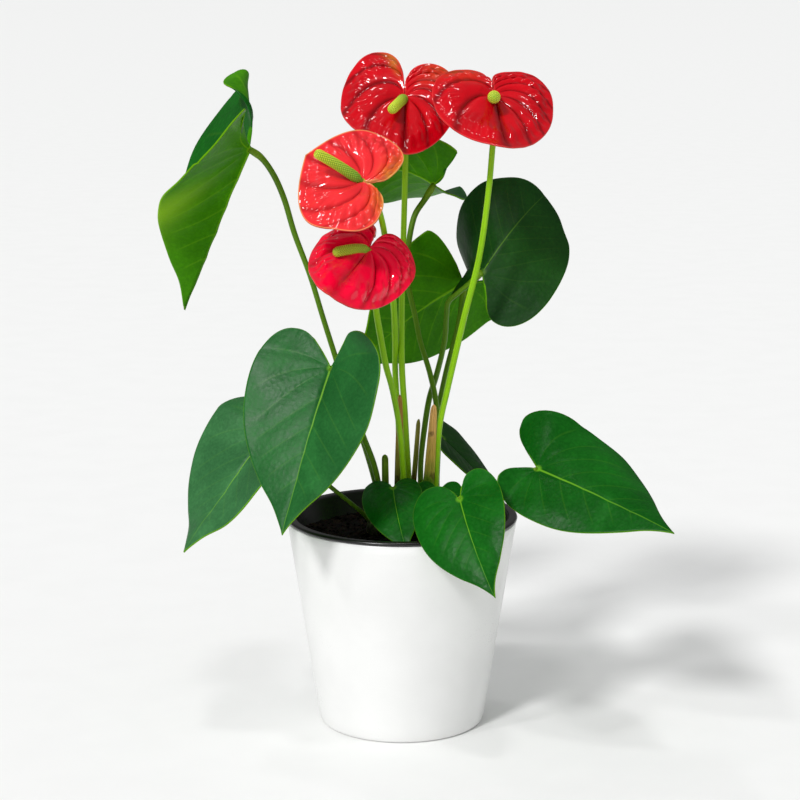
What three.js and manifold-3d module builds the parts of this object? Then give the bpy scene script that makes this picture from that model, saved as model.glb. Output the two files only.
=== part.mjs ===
// A potted anthurium: a white cover pot, a black grower's pot with soil, three crowns, heart-shaped leaves on long
// petioles, bracts at their feet and four red blooms. Millimetres, +Z up, the front faces -Y.
// The origin is the middle of the pot's foot.
import * as THREE from "three";
import { mergeVertices } from "three/addons/utils/BufferGeometryUtils.js";
import Module from "manifold-3d";

const wasm = await Module();
wasm.setup();

// ---------- driving dimensions ----------
const SEAT_GAP = 0.3;

const COVER_HEIGHT = 126;
const COVER_TOP_RADIUS = 69.6;
const COVER_FOOT_RADIUS = 50;
const COVER_WALL = 2.4;
const COVER_FLOOR = 3;
const COVER_EDGE = 2;

const LIP_RADIUS = 70;
const LIP_HEIGHT = 2.2;
const LIP_WIDTH = 6;
const GROWER_WALL = 1.8;
const GROWER_FOOT_RADIUS = 47.5;
const GROWER_FOOT_HEIGHT = 10;
const DRAIN_RADIUS = 4;
const DRAIN_RING_RADIUS = 28;
const DRAIN_COUNT = 5;

const SOIL_LEVEL = 115;
const SOIL_ROUGHNESS = 1.2;

const POT_SIDES = 36;
const STEM_SIDES = 6;
const BLADE_THICKNESS = 1;
const SPATHE_THICKNESS = 1;
const PETIOLE_RADIUS = 1.7;
const STALK_RADIUS = 1.8;
const SPADIX_RADIUS = 3;

const rad = THREE.MathUtils.degToRad;
const point = (x, y, z) => new THREE.Vector3(x, y, z);

// ---------- finishes ----------
function finish(color, roughness) {
  return new THREE.MeshStandardMaterial({ color, roughness, metalness: 0 });
}

const FINISHES = {
  cover: finish(0xf2f2f0, 0.32),
  grower: finish(0x14150f, 0.35),
  soil: finish(0x17120d, 0.95),
  leaf: finish(0x1d6b24, 0.38),
  petiole: finish(0x5f8f1e, 0.45),
  spathe: finish(0xc80a1c, 0.16),
  spadix: finish(0xc9cc2a, 0.6),
  bract: finish(0x9a7a4a, 0.7),
  crown: finish(0x2f3a17, 0.8),
};

// ---------- solids ----------
function solidOf(geometry) {
  const bare = geometry.clone();
  bare.deleteAttribute("normal");
  bare.deleteAttribute("uv");
  const merged = mergeVertices(bare, 1e-4);
  return new wasm.Manifold(
    new wasm.Mesh({
      numProp: 3,
      vertProperties: merged.attributes.position.array,
      triVerts: new Uint32Array(merged.index.array),
    }),
  );
}

function geometryOf(solid) {
  const mesh = solid.getMesh();
  const geometry = new THREE.BufferGeometry();
  geometry.setAttribute("position", new THREE.BufferAttribute(new Float32Array(mesh.vertProperties), 3));
  geometry.setIndex(new THREE.BufferAttribute(new Uint32Array(mesh.triVerts), 1));
  geometry.computeVertexNormals();
  return geometry;
}

function cut(solid, tools) {
  return tools.reduce((rest, tool) => rest.subtract(tool), solid);
}

// What a cut leaves of a stem: the longest piece, without the scrap beyond the blade it meets.
function largestPiece(solid) {
  const pieces = solid.decompose();
  return pieces.reduce((best, piece) => (piece.volume() > best.volume() ? piece : best));
}

// ---------- turned pieces ----------
function turned(profile, sides) {
  const geometry = new THREE.LatheGeometry(
    profile.map(([radius, height]) => new THREE.Vector2(radius, height)),
    sides,
  );
  geometry.rotateX(Math.PI / 2);
  return geometry;
}

function coverRadius(height) {
  return THREE.MathUtils.lerp(COVER_FOOT_RADIUS, COVER_TOP_RADIUS, height / COVER_HEIGHT);
}

function coverPot() {
  const inner = (height) => coverRadius(height) - COVER_WALL;
  return solidOf(
    turned(
      [
        [0, 0],
        [COVER_FOOT_RADIUS - COVER_EDGE, 0],
        [coverRadius(COVER_EDGE), COVER_EDGE],
        [coverRadius(COVER_HEIGHT - 1), COVER_HEIGHT - 1],
        [COVER_TOP_RADIUS - 1, COVER_HEIGHT],
        [inner(COVER_HEIGHT), COVER_HEIGHT],
        [inner(COVER_FLOOR), COVER_FLOOR],
        [0, COVER_FLOOR],
      ],
      POT_SIDES,
    ),
  );
}

const GROWER_TOP = COVER_HEIGHT + SEAT_GAP;
const GROWER_MOUTH_RADIUS = LIP_RADIUS - LIP_WIDTH;
const GROWER_BODY_RADIUS = GROWER_MOUTH_RADIUS + GROWER_WALL;

// The inner radius of the grower's pot at a height above the ground.
function growerInnerRadius(height) {
  const share = (height - GROWER_FOOT_HEIGHT) / (GROWER_TOP + LIP_HEIGHT - GROWER_FOOT_HEIGHT);
  return THREE.MathUtils.lerp(GROWER_FOOT_RADIUS - GROWER_WALL, GROWER_MOUTH_RADIUS, share);
}

// The grower's pot hangs by its lip on the rim of the cover pot, and has drain holes in its floor.
function growerPot() {
  const shell = solidOf(
    turned(
      [
        [0, GROWER_FOOT_HEIGHT],
        [GROWER_FOOT_RADIUS, GROWER_FOOT_HEIGHT],
        [GROWER_BODY_RADIUS - 0.4, GROWER_TOP],
        [LIP_RADIUS - 0.6, GROWER_TOP],
        [LIP_RADIUS, GROWER_TOP + 0.8],
        [LIP_RADIUS - 0.8, GROWER_TOP + LIP_HEIGHT],
        [GROWER_BODY_RADIUS, GROWER_TOP + LIP_HEIGHT],
        [GROWER_MOUTH_RADIUS, GROWER_TOP + 1],
        [growerInnerRadius(GROWER_FOOT_HEIGHT + GROWER_WALL), GROWER_FOOT_HEIGHT + GROWER_WALL],
        [0, GROWER_FOOT_HEIGHT + GROWER_WALL],
      ],
      POT_SIDES,
    ),
  );
  const drains = Array.from({ length: DRAIN_COUNT }, (_, index) => {
    const angle = (2 * Math.PI * index) / DRAIN_COUNT;
    const drain = new THREE.CylinderGeometry(DRAIN_RADIUS, DRAIN_RADIUS, 4 * GROWER_WALL, 10);
    drain.rotateX(Math.PI / 2);
    drain.translate(
      DRAIN_RING_RADIUS * Math.cos(angle),
      DRAIN_RING_RADIUS * Math.sin(angle),
      GROWER_FOOT_HEIGHT + GROWER_WALL / 2,
    );
    return solidOf(drain);
  });
  return cut(shell, drains);
}

// The soil fills the grower's pot, with a shallow lumpy top.
function soilBody() {
  const foot = GROWER_FOOT_HEIGHT + GROWER_WALL + SEAT_GAP;
  const radius = (height) => growerInnerRadius(height) - 2 * SEAT_GAP;
  const topRings = [1, 0.75, 0.5, 0.25];
  const profile = [[0, foot], [radius(foot), foot]];
  topRings.forEach((share) => profile.push([radius(SOIL_LEVEL) * share, SOIL_LEVEL]));
  profile.push([0, SOIL_LEVEL]);
  const geometry = turned(profile, POT_SIDES);
  const position = geometry.attributes.position;
  const inside = radius(SOIL_LEVEL) - 1;
  for (let index = 0; index < position.count; index += 1) {
    const x = position.getX(index);
    const y = position.getY(index);
    const z = position.getZ(index);
    const reach = Math.hypot(x, y);
    if (z > foot + 1 && reach < inside) {
      const lumps = Math.sin(x * 0.23 + 1) * Math.cos(y * 0.19) + 0.6 * Math.sin(x * 0.11 - y * 0.31);
      position.setZ(index, z + SOIL_ROUGHNESS * (lumps + 1 - reach / inside));
    }
  }
  return solidOf(geometry);
}

// ---------- blades ----------
function cubic(from, leave, arrive, to, steps) {
  return new THREE.CubicBezierCurve(from, leave, arrive, to).getPoints(steps);
}

// The end of an arc that starts at an angle and bends by a curvature over a length.
function arcEnd(angle, curvature, length) {
  const bend = Math.abs(curvature) < 1e-9 ? 1e-9 : curvature;
  return [
    (Math.sin(angle) - Math.sin(angle - bend * length)) / bend,
    (Math.cos(angle - bend * length) - Math.cos(angle)) / bend,
  ];
}

// Angles are in degrees, lengths in millimetres. Where a value has two entries, they are for the left and the right
// half, as seen with the tip pointing away. The flat outline lies about the joint of petiole and blade: the tip at
// `length` along the midrib, the lobes at `lobe` behind it. Then the midrib bends, the halves fold and arch up.
const LEAF_SHAPE = {
  thickness: BLADE_THICKNESS,
  roll: 0,
  widestAt: 0.14,
  sinus: [30, 30],
  sinusStraight: 0.45,
  lobeCentre: 0.54,
  lobeLength: [1, 1],
  width: [1, 1],
  tipFullness: 0.14,
  tipLength: 0.18,
  belly: 0.54,
  drip: 0.08,
  droop: 20,
  lobeBend: [0, 0],
  lobeCurl: [0, 0],
  curlFrom: 1,
  fold: [12, 12],
  foldAtTip: 0,
  foldAtLobes: 0,
  arch: [15, 15],
  twist: 0,
  ridges: 0,
  ridgeHeight: 0,
  columns: 24,
  rings: 5,
};

const SPATHE_SHAPE = {
  ...LEAF_SHAPE,
  thickness: SPATHE_THICKNESS,
  widestAt: -0.03,
  sinus: [4, 4],
  lobeCentre: 0.47,
  tipFullness: 0.33,
  tipLength: 0.04,
  drip: 0,
  ridges: 11,
  ridgeHeight: 0.7,
  columns: 34,
  rings: 4,
};

class Blade {
  constructor(shape) {
    Object.assign(this, shape);
    const azimuth = rad(this.azimuth);
    const elevation = rad(this.elevation);
    const roll = rad(this.roll);
    this.along = point(
      Math.cos(elevation) * Math.cos(azimuth),
      Math.cos(elevation) * Math.sin(azimuth),
      Math.sin(elevation),
    );
    const upright = point(0, 0, 1).addScaledVector(this.along, -this.along.z).normalize();
    this.above = upright
      .clone()
      .multiplyScalar(Math.cos(roll))
      .addScaledVector(this.along.clone().cross(upright), Math.sin(roll));
    this.across = this.along.clone().cross(this.above);
    this.rim = [...this.halfRim(1), ...this.halfRim(0).reverse().slice(1)];
  }

  // The margin of one half from the end of the straight sinus edge, round the lobe, to the tip.
  halfRim(half) {
    const side = half ? 1 : -1;
    const width = this.halfWidth * this.width[half];
    const lobe = this.lobe * this.lobeLength[half];
    const sinus = rad(this.sinus[half]);
    const straight = this.sinusStraight * lobe;
    const widestY = this.widestAt * this.length;
    const lobeX = this.lobeCentre * width;
    const start = new THREE.Vector2(straight * Math.sin(sinus), -straight * Math.cos(sinus));
    const lobeEnd = new THREE.Vector2(lobeX, -lobe);
    const widest = new THREE.Vector2(width, widestY);
    const tip = new THREE.Vector2(0, this.length);
    const reach = start.distanceTo(lobeEnd);
    const leave = new THREE.Vector2(Math.sin(sinus), -Math.cos(sinus)).multiplyScalar(0.45 * reach);
    const steps = this.columns / 2;
    const turn = Math.round(steps / 4);
    const flank = Math.round(steps / 4);
    const points = [
      ...cubic(
        start,
        start.clone().add(leave),
        new THREE.Vector2(lobeX - Math.min(0.42 * reach, 0.8 * lobeX), -lobe),
        lobeEnd,
        turn,
      ),
      ...cubic(
        lobeEnd,
        new THREE.Vector2(lobeX + 0.56 * (width - lobeX), -lobe),
        new THREE.Vector2(width, widestY - 0.56 * (widestY + lobe)),
        widest,
        flank,
      ).slice(1),
      ...cubic(
        widest,
        new THREE.Vector2(width, widestY + this.belly * (this.length - widestY)),
        new THREE.Vector2(this.tipFullness * width, this.length * (1 - this.tipLength)),
        tip,
        Math.floor(steps) - turn - flank,
      ).slice(1),
    ];
    return points.map(({ x, y }) => {
      const nearTip = THREE.MathUtils.clamp((y / this.length - 0.72) / 0.28, 0, 1);
      return new THREE.Vector2(side * x * (1 - this.drip * Math.sin(Math.PI * nearTip) ** 2), y);
    });
  }

  // A point of the flat outline, at a share of the way round the rim and of the way out from the joint.
  flatAt(around, outward) {
    const place = around * (this.rim.length - 1);
    const index = Math.min(Math.floor(place), this.rim.length - 2);
    return this.rim[index].clone().lerp(this.rim[index + 1], place - index).multiplyScalar(outward);
  }

  // The bent blade's middle surface over a flat point.
  surfaceAt(flat) {
    const half = flat.x > 0 ? 1 : 0;
    const side = half ? 1 : -1;
    const lobe = this.lobe;
    const forward = Math.max(flat.y, 0);
    const back = Math.max(-flat.y, 0);
    const droop = rad(this.droop) / this.length;
    const bend = rad(this.lobeBend[half]) / lobe;
    const curl = rad(this.lobeCurl[half]) / lobe;
    const bent = Math.min(back, this.curlFrom * lobe);
    const curled = back - bent;
    const [aheadY, aheadZ] = arcEnd(0, droop, forward);
    const [bendY, bendZ] = arcEnd(0, bend, bent);
    const [curlY, curlZ] = arcEnd(0, curl, curled);
    const pitch = forward > 0 ? -droop * forward : bend * bent;
    const towardTip = THREE.MathUtils.clamp(flat.y / this.length, 0, 1);
    const towardLobes = THREE.MathUtils.clamp(back / lobe, 0, 1);
    const fold = rad(this.fold[half] + this.foldAtTip * towardTip + this.foldAtLobes * towardLobes);
    const arch = rad(this.arch[half]) / this.halfWidth;
    const [outX, outZ] = arcEnd(fold, arch, Math.abs(flat.x));
    const slope = fold - arch * Math.abs(flat.x);
    const twist = rad(this.twist) * towardTip;
    const x = side * outX * Math.cos(twist) - outZ * Math.sin(twist) - side * curlZ * Math.sin(slope);
    const rise = side * outX * Math.sin(twist) + outZ * Math.cos(twist) + curlZ * Math.cos(slope);
    return this.joint
      .clone()
      .addScaledVector(this.across, x)
      .addScaledVector(this.along, aheadY - bendY - Math.cos(pitch) * curlY - Math.sin(pitch) * rise)
      .addScaledVector(this.above, aheadZ + bendZ - Math.sin(pitch) * curlY + Math.cos(pitch) * rise);
  }

  // Unit normal of the bent blade on its upper side.
  normalAt(around, outward) {
    if (outward === 0) {
      return this.above.clone();
    }
    const step = 0.004;
    const at = (a, o) => this.surfaceAt(this.flatAt(THREE.MathUtils.clamp(a, 0, 1), o));
    const outwards = at(around, outward).sub(at(around, outward - step));
    const round = at(around + step, outward).sub(at(around - step, outward));
    return outwards.cross(round).normalize();
  }

  // Ridges that run out from the joint, deepest halfway to the margin.
  reliefAt(around, outward) {
    return this.ridgeHeight * Math.cos(2 * Math.PI * this.ridges * around) * Math.sin(Math.PI * outward);
  }

  // The blade as a closed sheet: a grid of columns round the rim and rings out from the joint, once above and once
  // below the middle surface, both split into triangles alike, joined along the margin.
  geometry(thickness = this.thickness) {
    const { columns, rings } = this;
    const grid = new THREE.PlaneGeometry(1, 1, columns, rings);
    const size = grid.attributes.position.count;
    const positions = [];
    [0.5, -0.5].forEach((face) => {
      for (let index = 0; index < size; index += 1) {
        const around = grid.attributes.uv.getX(index);
        const outward = grid.attributes.uv.getY(index);
        const offset = face * thickness + this.reliefAt(around, outward);
        const place = this.surfaceAt(this.flatAt(around, outward));
        positions.push(...place.addScaledVector(this.normalAt(around, outward), offset).toArray());
      }
    });
    const face = Array.from(grid.index.array);
    const faces = [];
    for (let index = 0; index < face.length; index += 3) {
      const [a, b, c] = face.slice(index, index + 3);
      faces.push(a, c, b);
      faces.push(size + a, size + b, size + c);
    }
    const corner = (column, row) => row * (columns + 1) + column;
    const border = [];
    for (let column = 0; column < columns; column += 1) {
      border.push(corner(column, 0));
    }
    for (let row = 0; row < rings; row += 1) {
      border.push(corner(columns, row));
    }
    for (let column = columns; column > 0; column -= 1) {
      border.push(corner(column, rings));
    }
    for (let row = rings; row > 0; row -= 1) {
      border.push(corner(0, row));
    }
    border.forEach((from, index) => {
      const to = border[(index + 1) % border.length];
      faces.push(from, size + from, size + to);
      faces.push(from, size + to, to);
    });
    const sheet = new THREE.BufferGeometry();
    sheet.setAttribute("position", new THREE.Float32BufferAttribute(positions, 3));
    sheet.setIndex(faces);
    return withoutFlatTriangles(mergeVertices(sheet, 1e-4));
  }
}

// Drops triangles that merging has left with two corners alike, as round the joint of a blade.
function withoutFlatTriangles(geometry) {
  const index = geometry.index.array;
  const kept = [];
  for (let start = 0; start < index.length; start += 3) {
    const [a, b, c] = index.slice(start, start + 3);
    if (a !== b && b !== c && c !== a) {
      kept.push(a, b, c);
    }
  }
  geometry.setIndex(kept);
  return geometry;
}

// ---------- stems ----------
// A round stem along a route of points, from the blade down to its foot.
function stem(route, radius, steps) {
  const section = new THREE.Shape();
  section.absarc(0, 0, radius, 0, 2 * Math.PI, false);
  const curve = new THREE.CatmullRomCurve3(route, false, "centripetal");
  return new THREE.ExtrudeGeometry(section, {
    steps,
    curveSegments: STEM_SIDES / 2,
    extrudePath: curve,
  });
}

// ---------- spadix ----------
const SPADIX_SIDES = 10;
const SPADIX_RINGS = 9;
const SPADIX_NECK = 0.17;
const SPADIX_NECK_RADIUS = 0.8;
const KNOB_HEIGHT = 0.07;

// A round-ended spike of knobs on a slightly arched core, from its foot to its tip.
function spadix({ foot, tip, radius, arch }) {
  const axis = tip.clone().sub(foot);
  const length = axis.length();
  const neck = SPADIX_NECK_RADIUS / radius;
  const profile = [[0, 0], [neck, 0], [0.94, SPADIX_NECK]];
  for (let ring = 2; ring < SPADIX_RINGS; ring += 1) {
    const share = ring / SPADIX_RINGS;
    profile.push([Math.min(1, 1.9 * Math.sqrt(1 - share)) * (1 - 0.12 * share), share]);
  }
  profile.push([0, 1]);
  const geometry = turned(
    profile.map(([width, share]) => [width * radius, share * length]),
    SPADIX_SIDES,
  );
  const position = geometry.attributes.position;
  for (let index = 0; index < position.count; index += 1) {
    const x = position.getX(index);
    const y = position.getY(index);
    const z = position.getZ(index);
    const angle = Math.atan2(y, x);
    const row = Math.round((z / length) * SPADIX_RINGS);
    const knob = 1 + KNOB_HEIGHT * Math.cos((SPADIX_SIDES / 2) * angle + Math.PI * row);
    const sag = arch * Math.sin((Math.PI * z) / length);
    position.setXYZ(index, x * knob, y * knob + sag, z);
  }
  const turn = new THREE.Quaternion().setFromUnitVectors(point(0, 0, 1), axis.normalize());
  geometry.applyQuaternion(turn);
  geometry.translate(foot.x, foot.y, foot.z);
  return geometry;
}

// ---------- bracts ----------
const BRACT_COLUMNS = 4;
const BRACT_ROWS = 7;
const BRACT_THICKNESS = 0.9;

// A pointed bract, hollow towards the stem it hugs: a box whose grid is bent round and drawn in to the tip.
function bract({ foot, tip, halfWidth, facing, hollow }, widen = 0) {
  const rise = tip.clone().sub(foot);
  const base = foot.clone().addScaledVector(rise.clone().normalize(), -widen);
  const outward = point(Math.cos(rad(facing)), Math.sin(rad(facing)), 0);
  const sideways = rise.clone().cross(outward).normalize();
  const geometry = new THREE.BoxGeometry(1, 1, 1, BRACT_COLUMNS, BRACT_ROWS, 1);
  const position = geometry.attributes.position;
  for (let index = 0; index < position.count; index += 1) {
    const across = 2 * position.getX(index);
    const share = position.getY(index) + 0.5;
    const depth = position.getZ(index);
    const width = halfWidth * (1 - 0.88 * share ** 1.8) + widen;
    const place = base
      .clone()
      .addScaledVector(rise, share)
      .addScaledVector(sideways, across * width)
      .addScaledVector(outward, depth * (BRACT_THICKNESS + 2 * widen) - hollow * (1 - share) * across ** 2);
    position.setXYZ(index, place.x, place.y, place.z);
  }
  return geometry;
}

// ---------- crowns ----------
const CROWN_FOOT = 100;
const CROWN_TOP = 131;
const CROWN_SIDES = 14;

// The short swollen stem base that the petioles of one shoot rise from.
function crown({ x, y, radiusX, radiusY }, widen = 0) {
  const profile = [
    [0, CROWN_FOOT - widen],
    [0.55, CROWN_FOOT - widen],
    [0.95, SOIL_LEVEL - 4],
    [1, SOIL_LEVEL + 3],
    [0.9, CROWN_TOP - 6],
    [0.55, CROWN_TOP + widen],
    [0, CROWN_TOP + widen],
  ];
  const geometry = turned(profile, CROWN_SIDES);
  const position = geometry.attributes.position;
  for (let index = 0; index < position.count; index += 1) {
    position.setX(index, x + position.getX(index) * (radiusX + widen));
    position.setY(index, y + position.getY(index) * (radiusY + widen));
  }
  return geometry;
}

const CROWNS = {
  crown_left: { x: -14, y: 3, radiusX: 7.6, radiusY: 9 },
  crown_middle: { x: 0.6, y: 7, radiusX: 6.4, radiusY: 12 },
  crown_right: { x: 17.6, y: 5, radiusX: 9.8, radiusY: 13 },
};

// ---------- leaves ----------
const SMALL_GRID = { columns: 20, rings: 4 };

const LEAVES = {
  leaf_1: {
    ...LEAF_SHAPE,
    joint: point(-90, 5, 348),
    azimuth: 135,
    elevation: -57.5,
    roll: -48.7,
    length: 121,
    halfWidth: 57,
    lobe: 42,
    width: [0.94, 1.06],
    lobeLength: [0.92, 1.08],
    widestAt: 0.15,
    sinus: [60, 60],
    sinusStraight: 0.08,
    lobeCentre: 0.56,
    droop: 1,
    lobeBend: [-60, -13],
    lobeCurl: [0, -148],
    curlFrom: 0.17,
    fold: [42.5, 20.5],
    foldAtLobes: -22,
    foldAtTip: 50,
    arch: [16, 12],
    tipFullness: 0.18,
    tipLength: 0.19,
    belly: 0.28,
    drip: 0.13,
    twist: -8,
    route: [
      [-90, 5, 348], [-83, 6, 343], [-76, 7, 333], [-70, 8, 319], [-64, 9, 298], [-55, 9, 273],
      [-47, 9, 246], [-40, 9, 223], [-33, 9, 199], [-25, 9, 176], [-17, 8, 150], [-13, 7, 133], [-12, 7, 121],
    ],
    steps: 16,
  },
  leaf_2: {
    ...LEAF_SHAPE,
    joint: point(-41.3, -38, 224.8),
    azimuth: -119,
    elevation: -54,
    roll: 15,
    length: 104,
    halfWidth: 46,
    lobe: 23,
    sinus: [40, 40],
    sinusStraight: 0.54,
    lobeCentre: 0.58,
    droop: 6,
    lobeBend: [-43, -18],
    fold: [17, 31],
    foldAtLobes: 4,
    foldAtTip: -23,
    arch: [16, -2],
    tipLength: 0.16,
    twist: 7.5,
    route: [
      [-41.3, -38, 224.8], [-36, -30, 214], [-29, -21, 200], [-23, -9, 178], [-17, -3, 160],
      [-14, -0.5, 146], [-13, 0.5, 134], [-13, 1, 121],
    ],
    steps: 9,
  },
  leaf_3: {
    ...LEAF_SHAPE,
    joint: point(-79.3, -20, 183.1),
    azimuth: -145,
    elevation: -46,
    roll: -5,
    length: 87,
    halfWidth: 40.5,
    lobe: 24,
    width: [0.93, 1.07],
    widestAt: 0.2,
    sinus: [25, 25],
    lobeCentre: 0.51,
    droop: 4,
    lobeBend: [21, 21],
    fold: [15, 15],
    foldAtLobes: -18,
    foldAtTip: -23,
    arch: [-2, -2],
    belly: 0.6,
    tipFullness: 0.12,
    tipLength: 0.13,
    twist: -10,
    petioleRadius: 1.3,
    route: [
      [-79, -20, 183], [-69, -17, 173], [-56, -12, 160], [-43, -8, 147], [-31, -4, 136],
      [-22, 0, 127], [-18, 2, 121],
    ],
    steps: 8,
  },
  leaf_4: {
    ...LEAF_SHAPE,
    ...SMALL_GRID,
    joint: point(-5.1, -21.5, 149.1),
    azimuth: -88,
    elevation: -15,
    roll: 20,
    length: 52,
    halfWidth: 18,
    lobe: 11,
    width: [0.93, 1.07],
    widestAt: 0.16,
    sinus: [26, 26],
    droop: 50,
    lobeBend: [7, 7],
    fold: [-2, 22],
    foldAtTip: -3,
    arch: [26, 26],
    twist: -6,
    petioleRadius: 1.1,
    route: [[-5.1, -21.5, 149.1], [-5.5, -17, 147.5], [-6.5, -12.5, 141], [-7, -10, 131], [-7, -9, 106]],
    steps: 7,
  },
  leaf_5: {
    ...LEAF_SHAPE,
    joint: point(33.4, -62, 152.2),
    azimuth: -79,
    elevation: -34,
    roll: 37,
    length: 66,
    halfWidth: 28,
    lobe: 15,
    width: [0.9, 1.1],
    widestAt: 0.12,
    sinus: [25, 25],
    sinusStraight: 0.38,
    lobeCentre: 0.51,
    droop: 32,
    lobeBend: [-11, -11],
    fold: [4, 20],
    foldAtTip: -2,
    arch: [23, 23],
    tipFullness: 0.15,
    tipLength: 0.19,
    twist: -10,
    petioleRadius: 1.3,
    route: [
      [33.4, -62, 152.2], [34.5, -52, 151], [36.5, -38, 147.5], [37, -24, 141], [36, -15, 131], [35.5, -13, 106],
    ],
    steps: 8,
  },
  leaf_6: {
    ...LEAF_SHAPE,
    joint: point(79.5, -40, 165.2),
    azimuth: -41.4,
    elevation: -11,
    roll: 39.4,
    length: 96.3,
    halfWidth: 40.7,
    lobe: 23,
    width: [1.14, 0.78],
    lobeLength: [1.01, 0.64],
    widestAt: 0.17,
    sinus: [31, 24],
    sinusStraight: 0.29,
    lobeCentre: 0.57,
    droop: 8.4,
    lobeBend: [35, -16],
    fold: [7, 7],
    foldAtLobes: 33,
    foldAtTip: -27,
    arch: [38, 17],
    belly: 0.46,
    tipFullness: 0.2,
    tipLength: 0.22,
    twist: 16,
    petioleRadius: 1.5,
    route: [
      [79, -40, 165], [71, -34, 160], [58, -24, 153], [44, -14, 146], [33, -7, 138], [26, -3, 130], [24.5, -1.5, 121],
    ],
    steps: 9,
  },
  leaf_7: {
    ...LEAF_SHAPE,
    joint: point(19.7, 42, 323.9),
    azimuth: 177,
    elevation: 35.5,
    roll: 19,
    length: 68,
    halfWidth: 39,
    lobe: 15,
    width: [0.93, 1.07],
    lobeLength: [0.56, 1.44],
    widestAt: 0.11,
    sinus: [85, 25],
    droop: 72,
    lobeBend: [-90, 0],
    fold: [29, -4],
    foldAtLobes: 29,
    foldAtTip: -30,
    arch: [0, -5],
    tipFullness: 0.12,
    tipLength: 0.25,
    twist: -30,
    route: [
      [19.7, 42, 324], [14, 40, 315], [8, 37, 306], [4, 32, 288.5], [3, 28, 276.5], [4, 25, 263.5],
      [8, 22, 246], [11, 19, 231.5], [17, 15.5, 212], [21, 12, 193], [22, 8.5, 172], [21, 6, 148],
      [21, 5.5, 134], [21, 5.5, 121],
    ],
    steps: 16,
  },
  leaf_8: {
    ...LEAF_SHAPE,
    joint: point(38.3, 56, 261.7),
    azimuth: 179,
    elevation: -28.5,
    roll: 58,
    length: 80.5,
    halfWidth: 43.3,
    lobe: 14,
    lobeLength: [0.15, 1.9],
    widestAt: 0.05,
    sinus: [85, 35],
    lobeCentre: 0.5,
    droop: 29,
    lobeBend: [0, 8],
    fold: [13, 10],
    foldAtLobes: -2,
    foldAtTip: -22,
    arch: [0, 2],
    tipFullness: 0.19,
    tipLength: 0.02,
    twist: -5,
    route: [
      [38.3, 56, 261.7], [38, 55, 255], [35, 49, 236.5], [28, 40, 211.6], [24, 32, 195], [21, 25, 181.5],
      [19, 18.5, 164], [18, 15, 146], [17.5, 14, 133], [17.5, 13.5, 121],
    ],
    steps: 12,
  },
  leaf_9: {
    ...LEAF_SHAPE,
    joint: point(48.2, 12, 274.3),
    azimuth: 20,
    elevation: 55,
    roll: 51,
    length: 68,
    halfWidth: 45,
    lobe: 22,
    width: [1.04, 0.96],
    widestAt: 0.12,
    sinus: [44, 44],
    droop: 41,
    fold: [-46, -10],
    foldAtTip: 36,
    arch: [37, -5],
    belly: 0.9,
    tipFullness: 0.19,
    tipLength: 0.02,
    twist: -47,
    route: [
      [48.2, 12, 274.3], [41, 15, 267], [33, 18, 260], [28, 20, 254.7], [27, 20.5, 246.6], [26, 21, 231.5],
      [21, 21, 209.5], [17, 20, 196.5], [14, 17.5, 179], [11.5, 14, 155], [12, 11, 133], [12.5, 10.5, 121],
    ],
    steps: 14,
  },
  leaf_10: {
    ...LEAF_SHAPE,
    ...SMALL_GRID,
    joint: point(26, 50, 164),
    azimuth: 0,
    elevation: -45,
    roll: 12,
    length: 60,
    halfWidth: 22,
    lobe: 10,
    droop: 6,
    petioleRadius: 1.2,
    route: [[26, 50, 164], [23.5, 46, 159], [22, 38, 152], [22, 28, 143], [22.5, 18, 132], [22.5, 13.5, 121]],
    steps: 7,
  },
  leaf_11: {
    ...LEAF_SHAPE,
    ...SMALL_GRID,
    joint: point(22, -19, 146.3),
    azimuth: -95,
    elevation: -30,
    length: 33,
    halfWidth: 15,
    lobe: 8,
    droop: 15,
    petioleRadius: 1.1,
    route: [[22, -19, 146.3], [22.5, -15, 142.5], [22.5, -13, 136], [22.5, -12, 128], [22.5, -12, 106]],
    steps: 8,
  },
};

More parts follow.
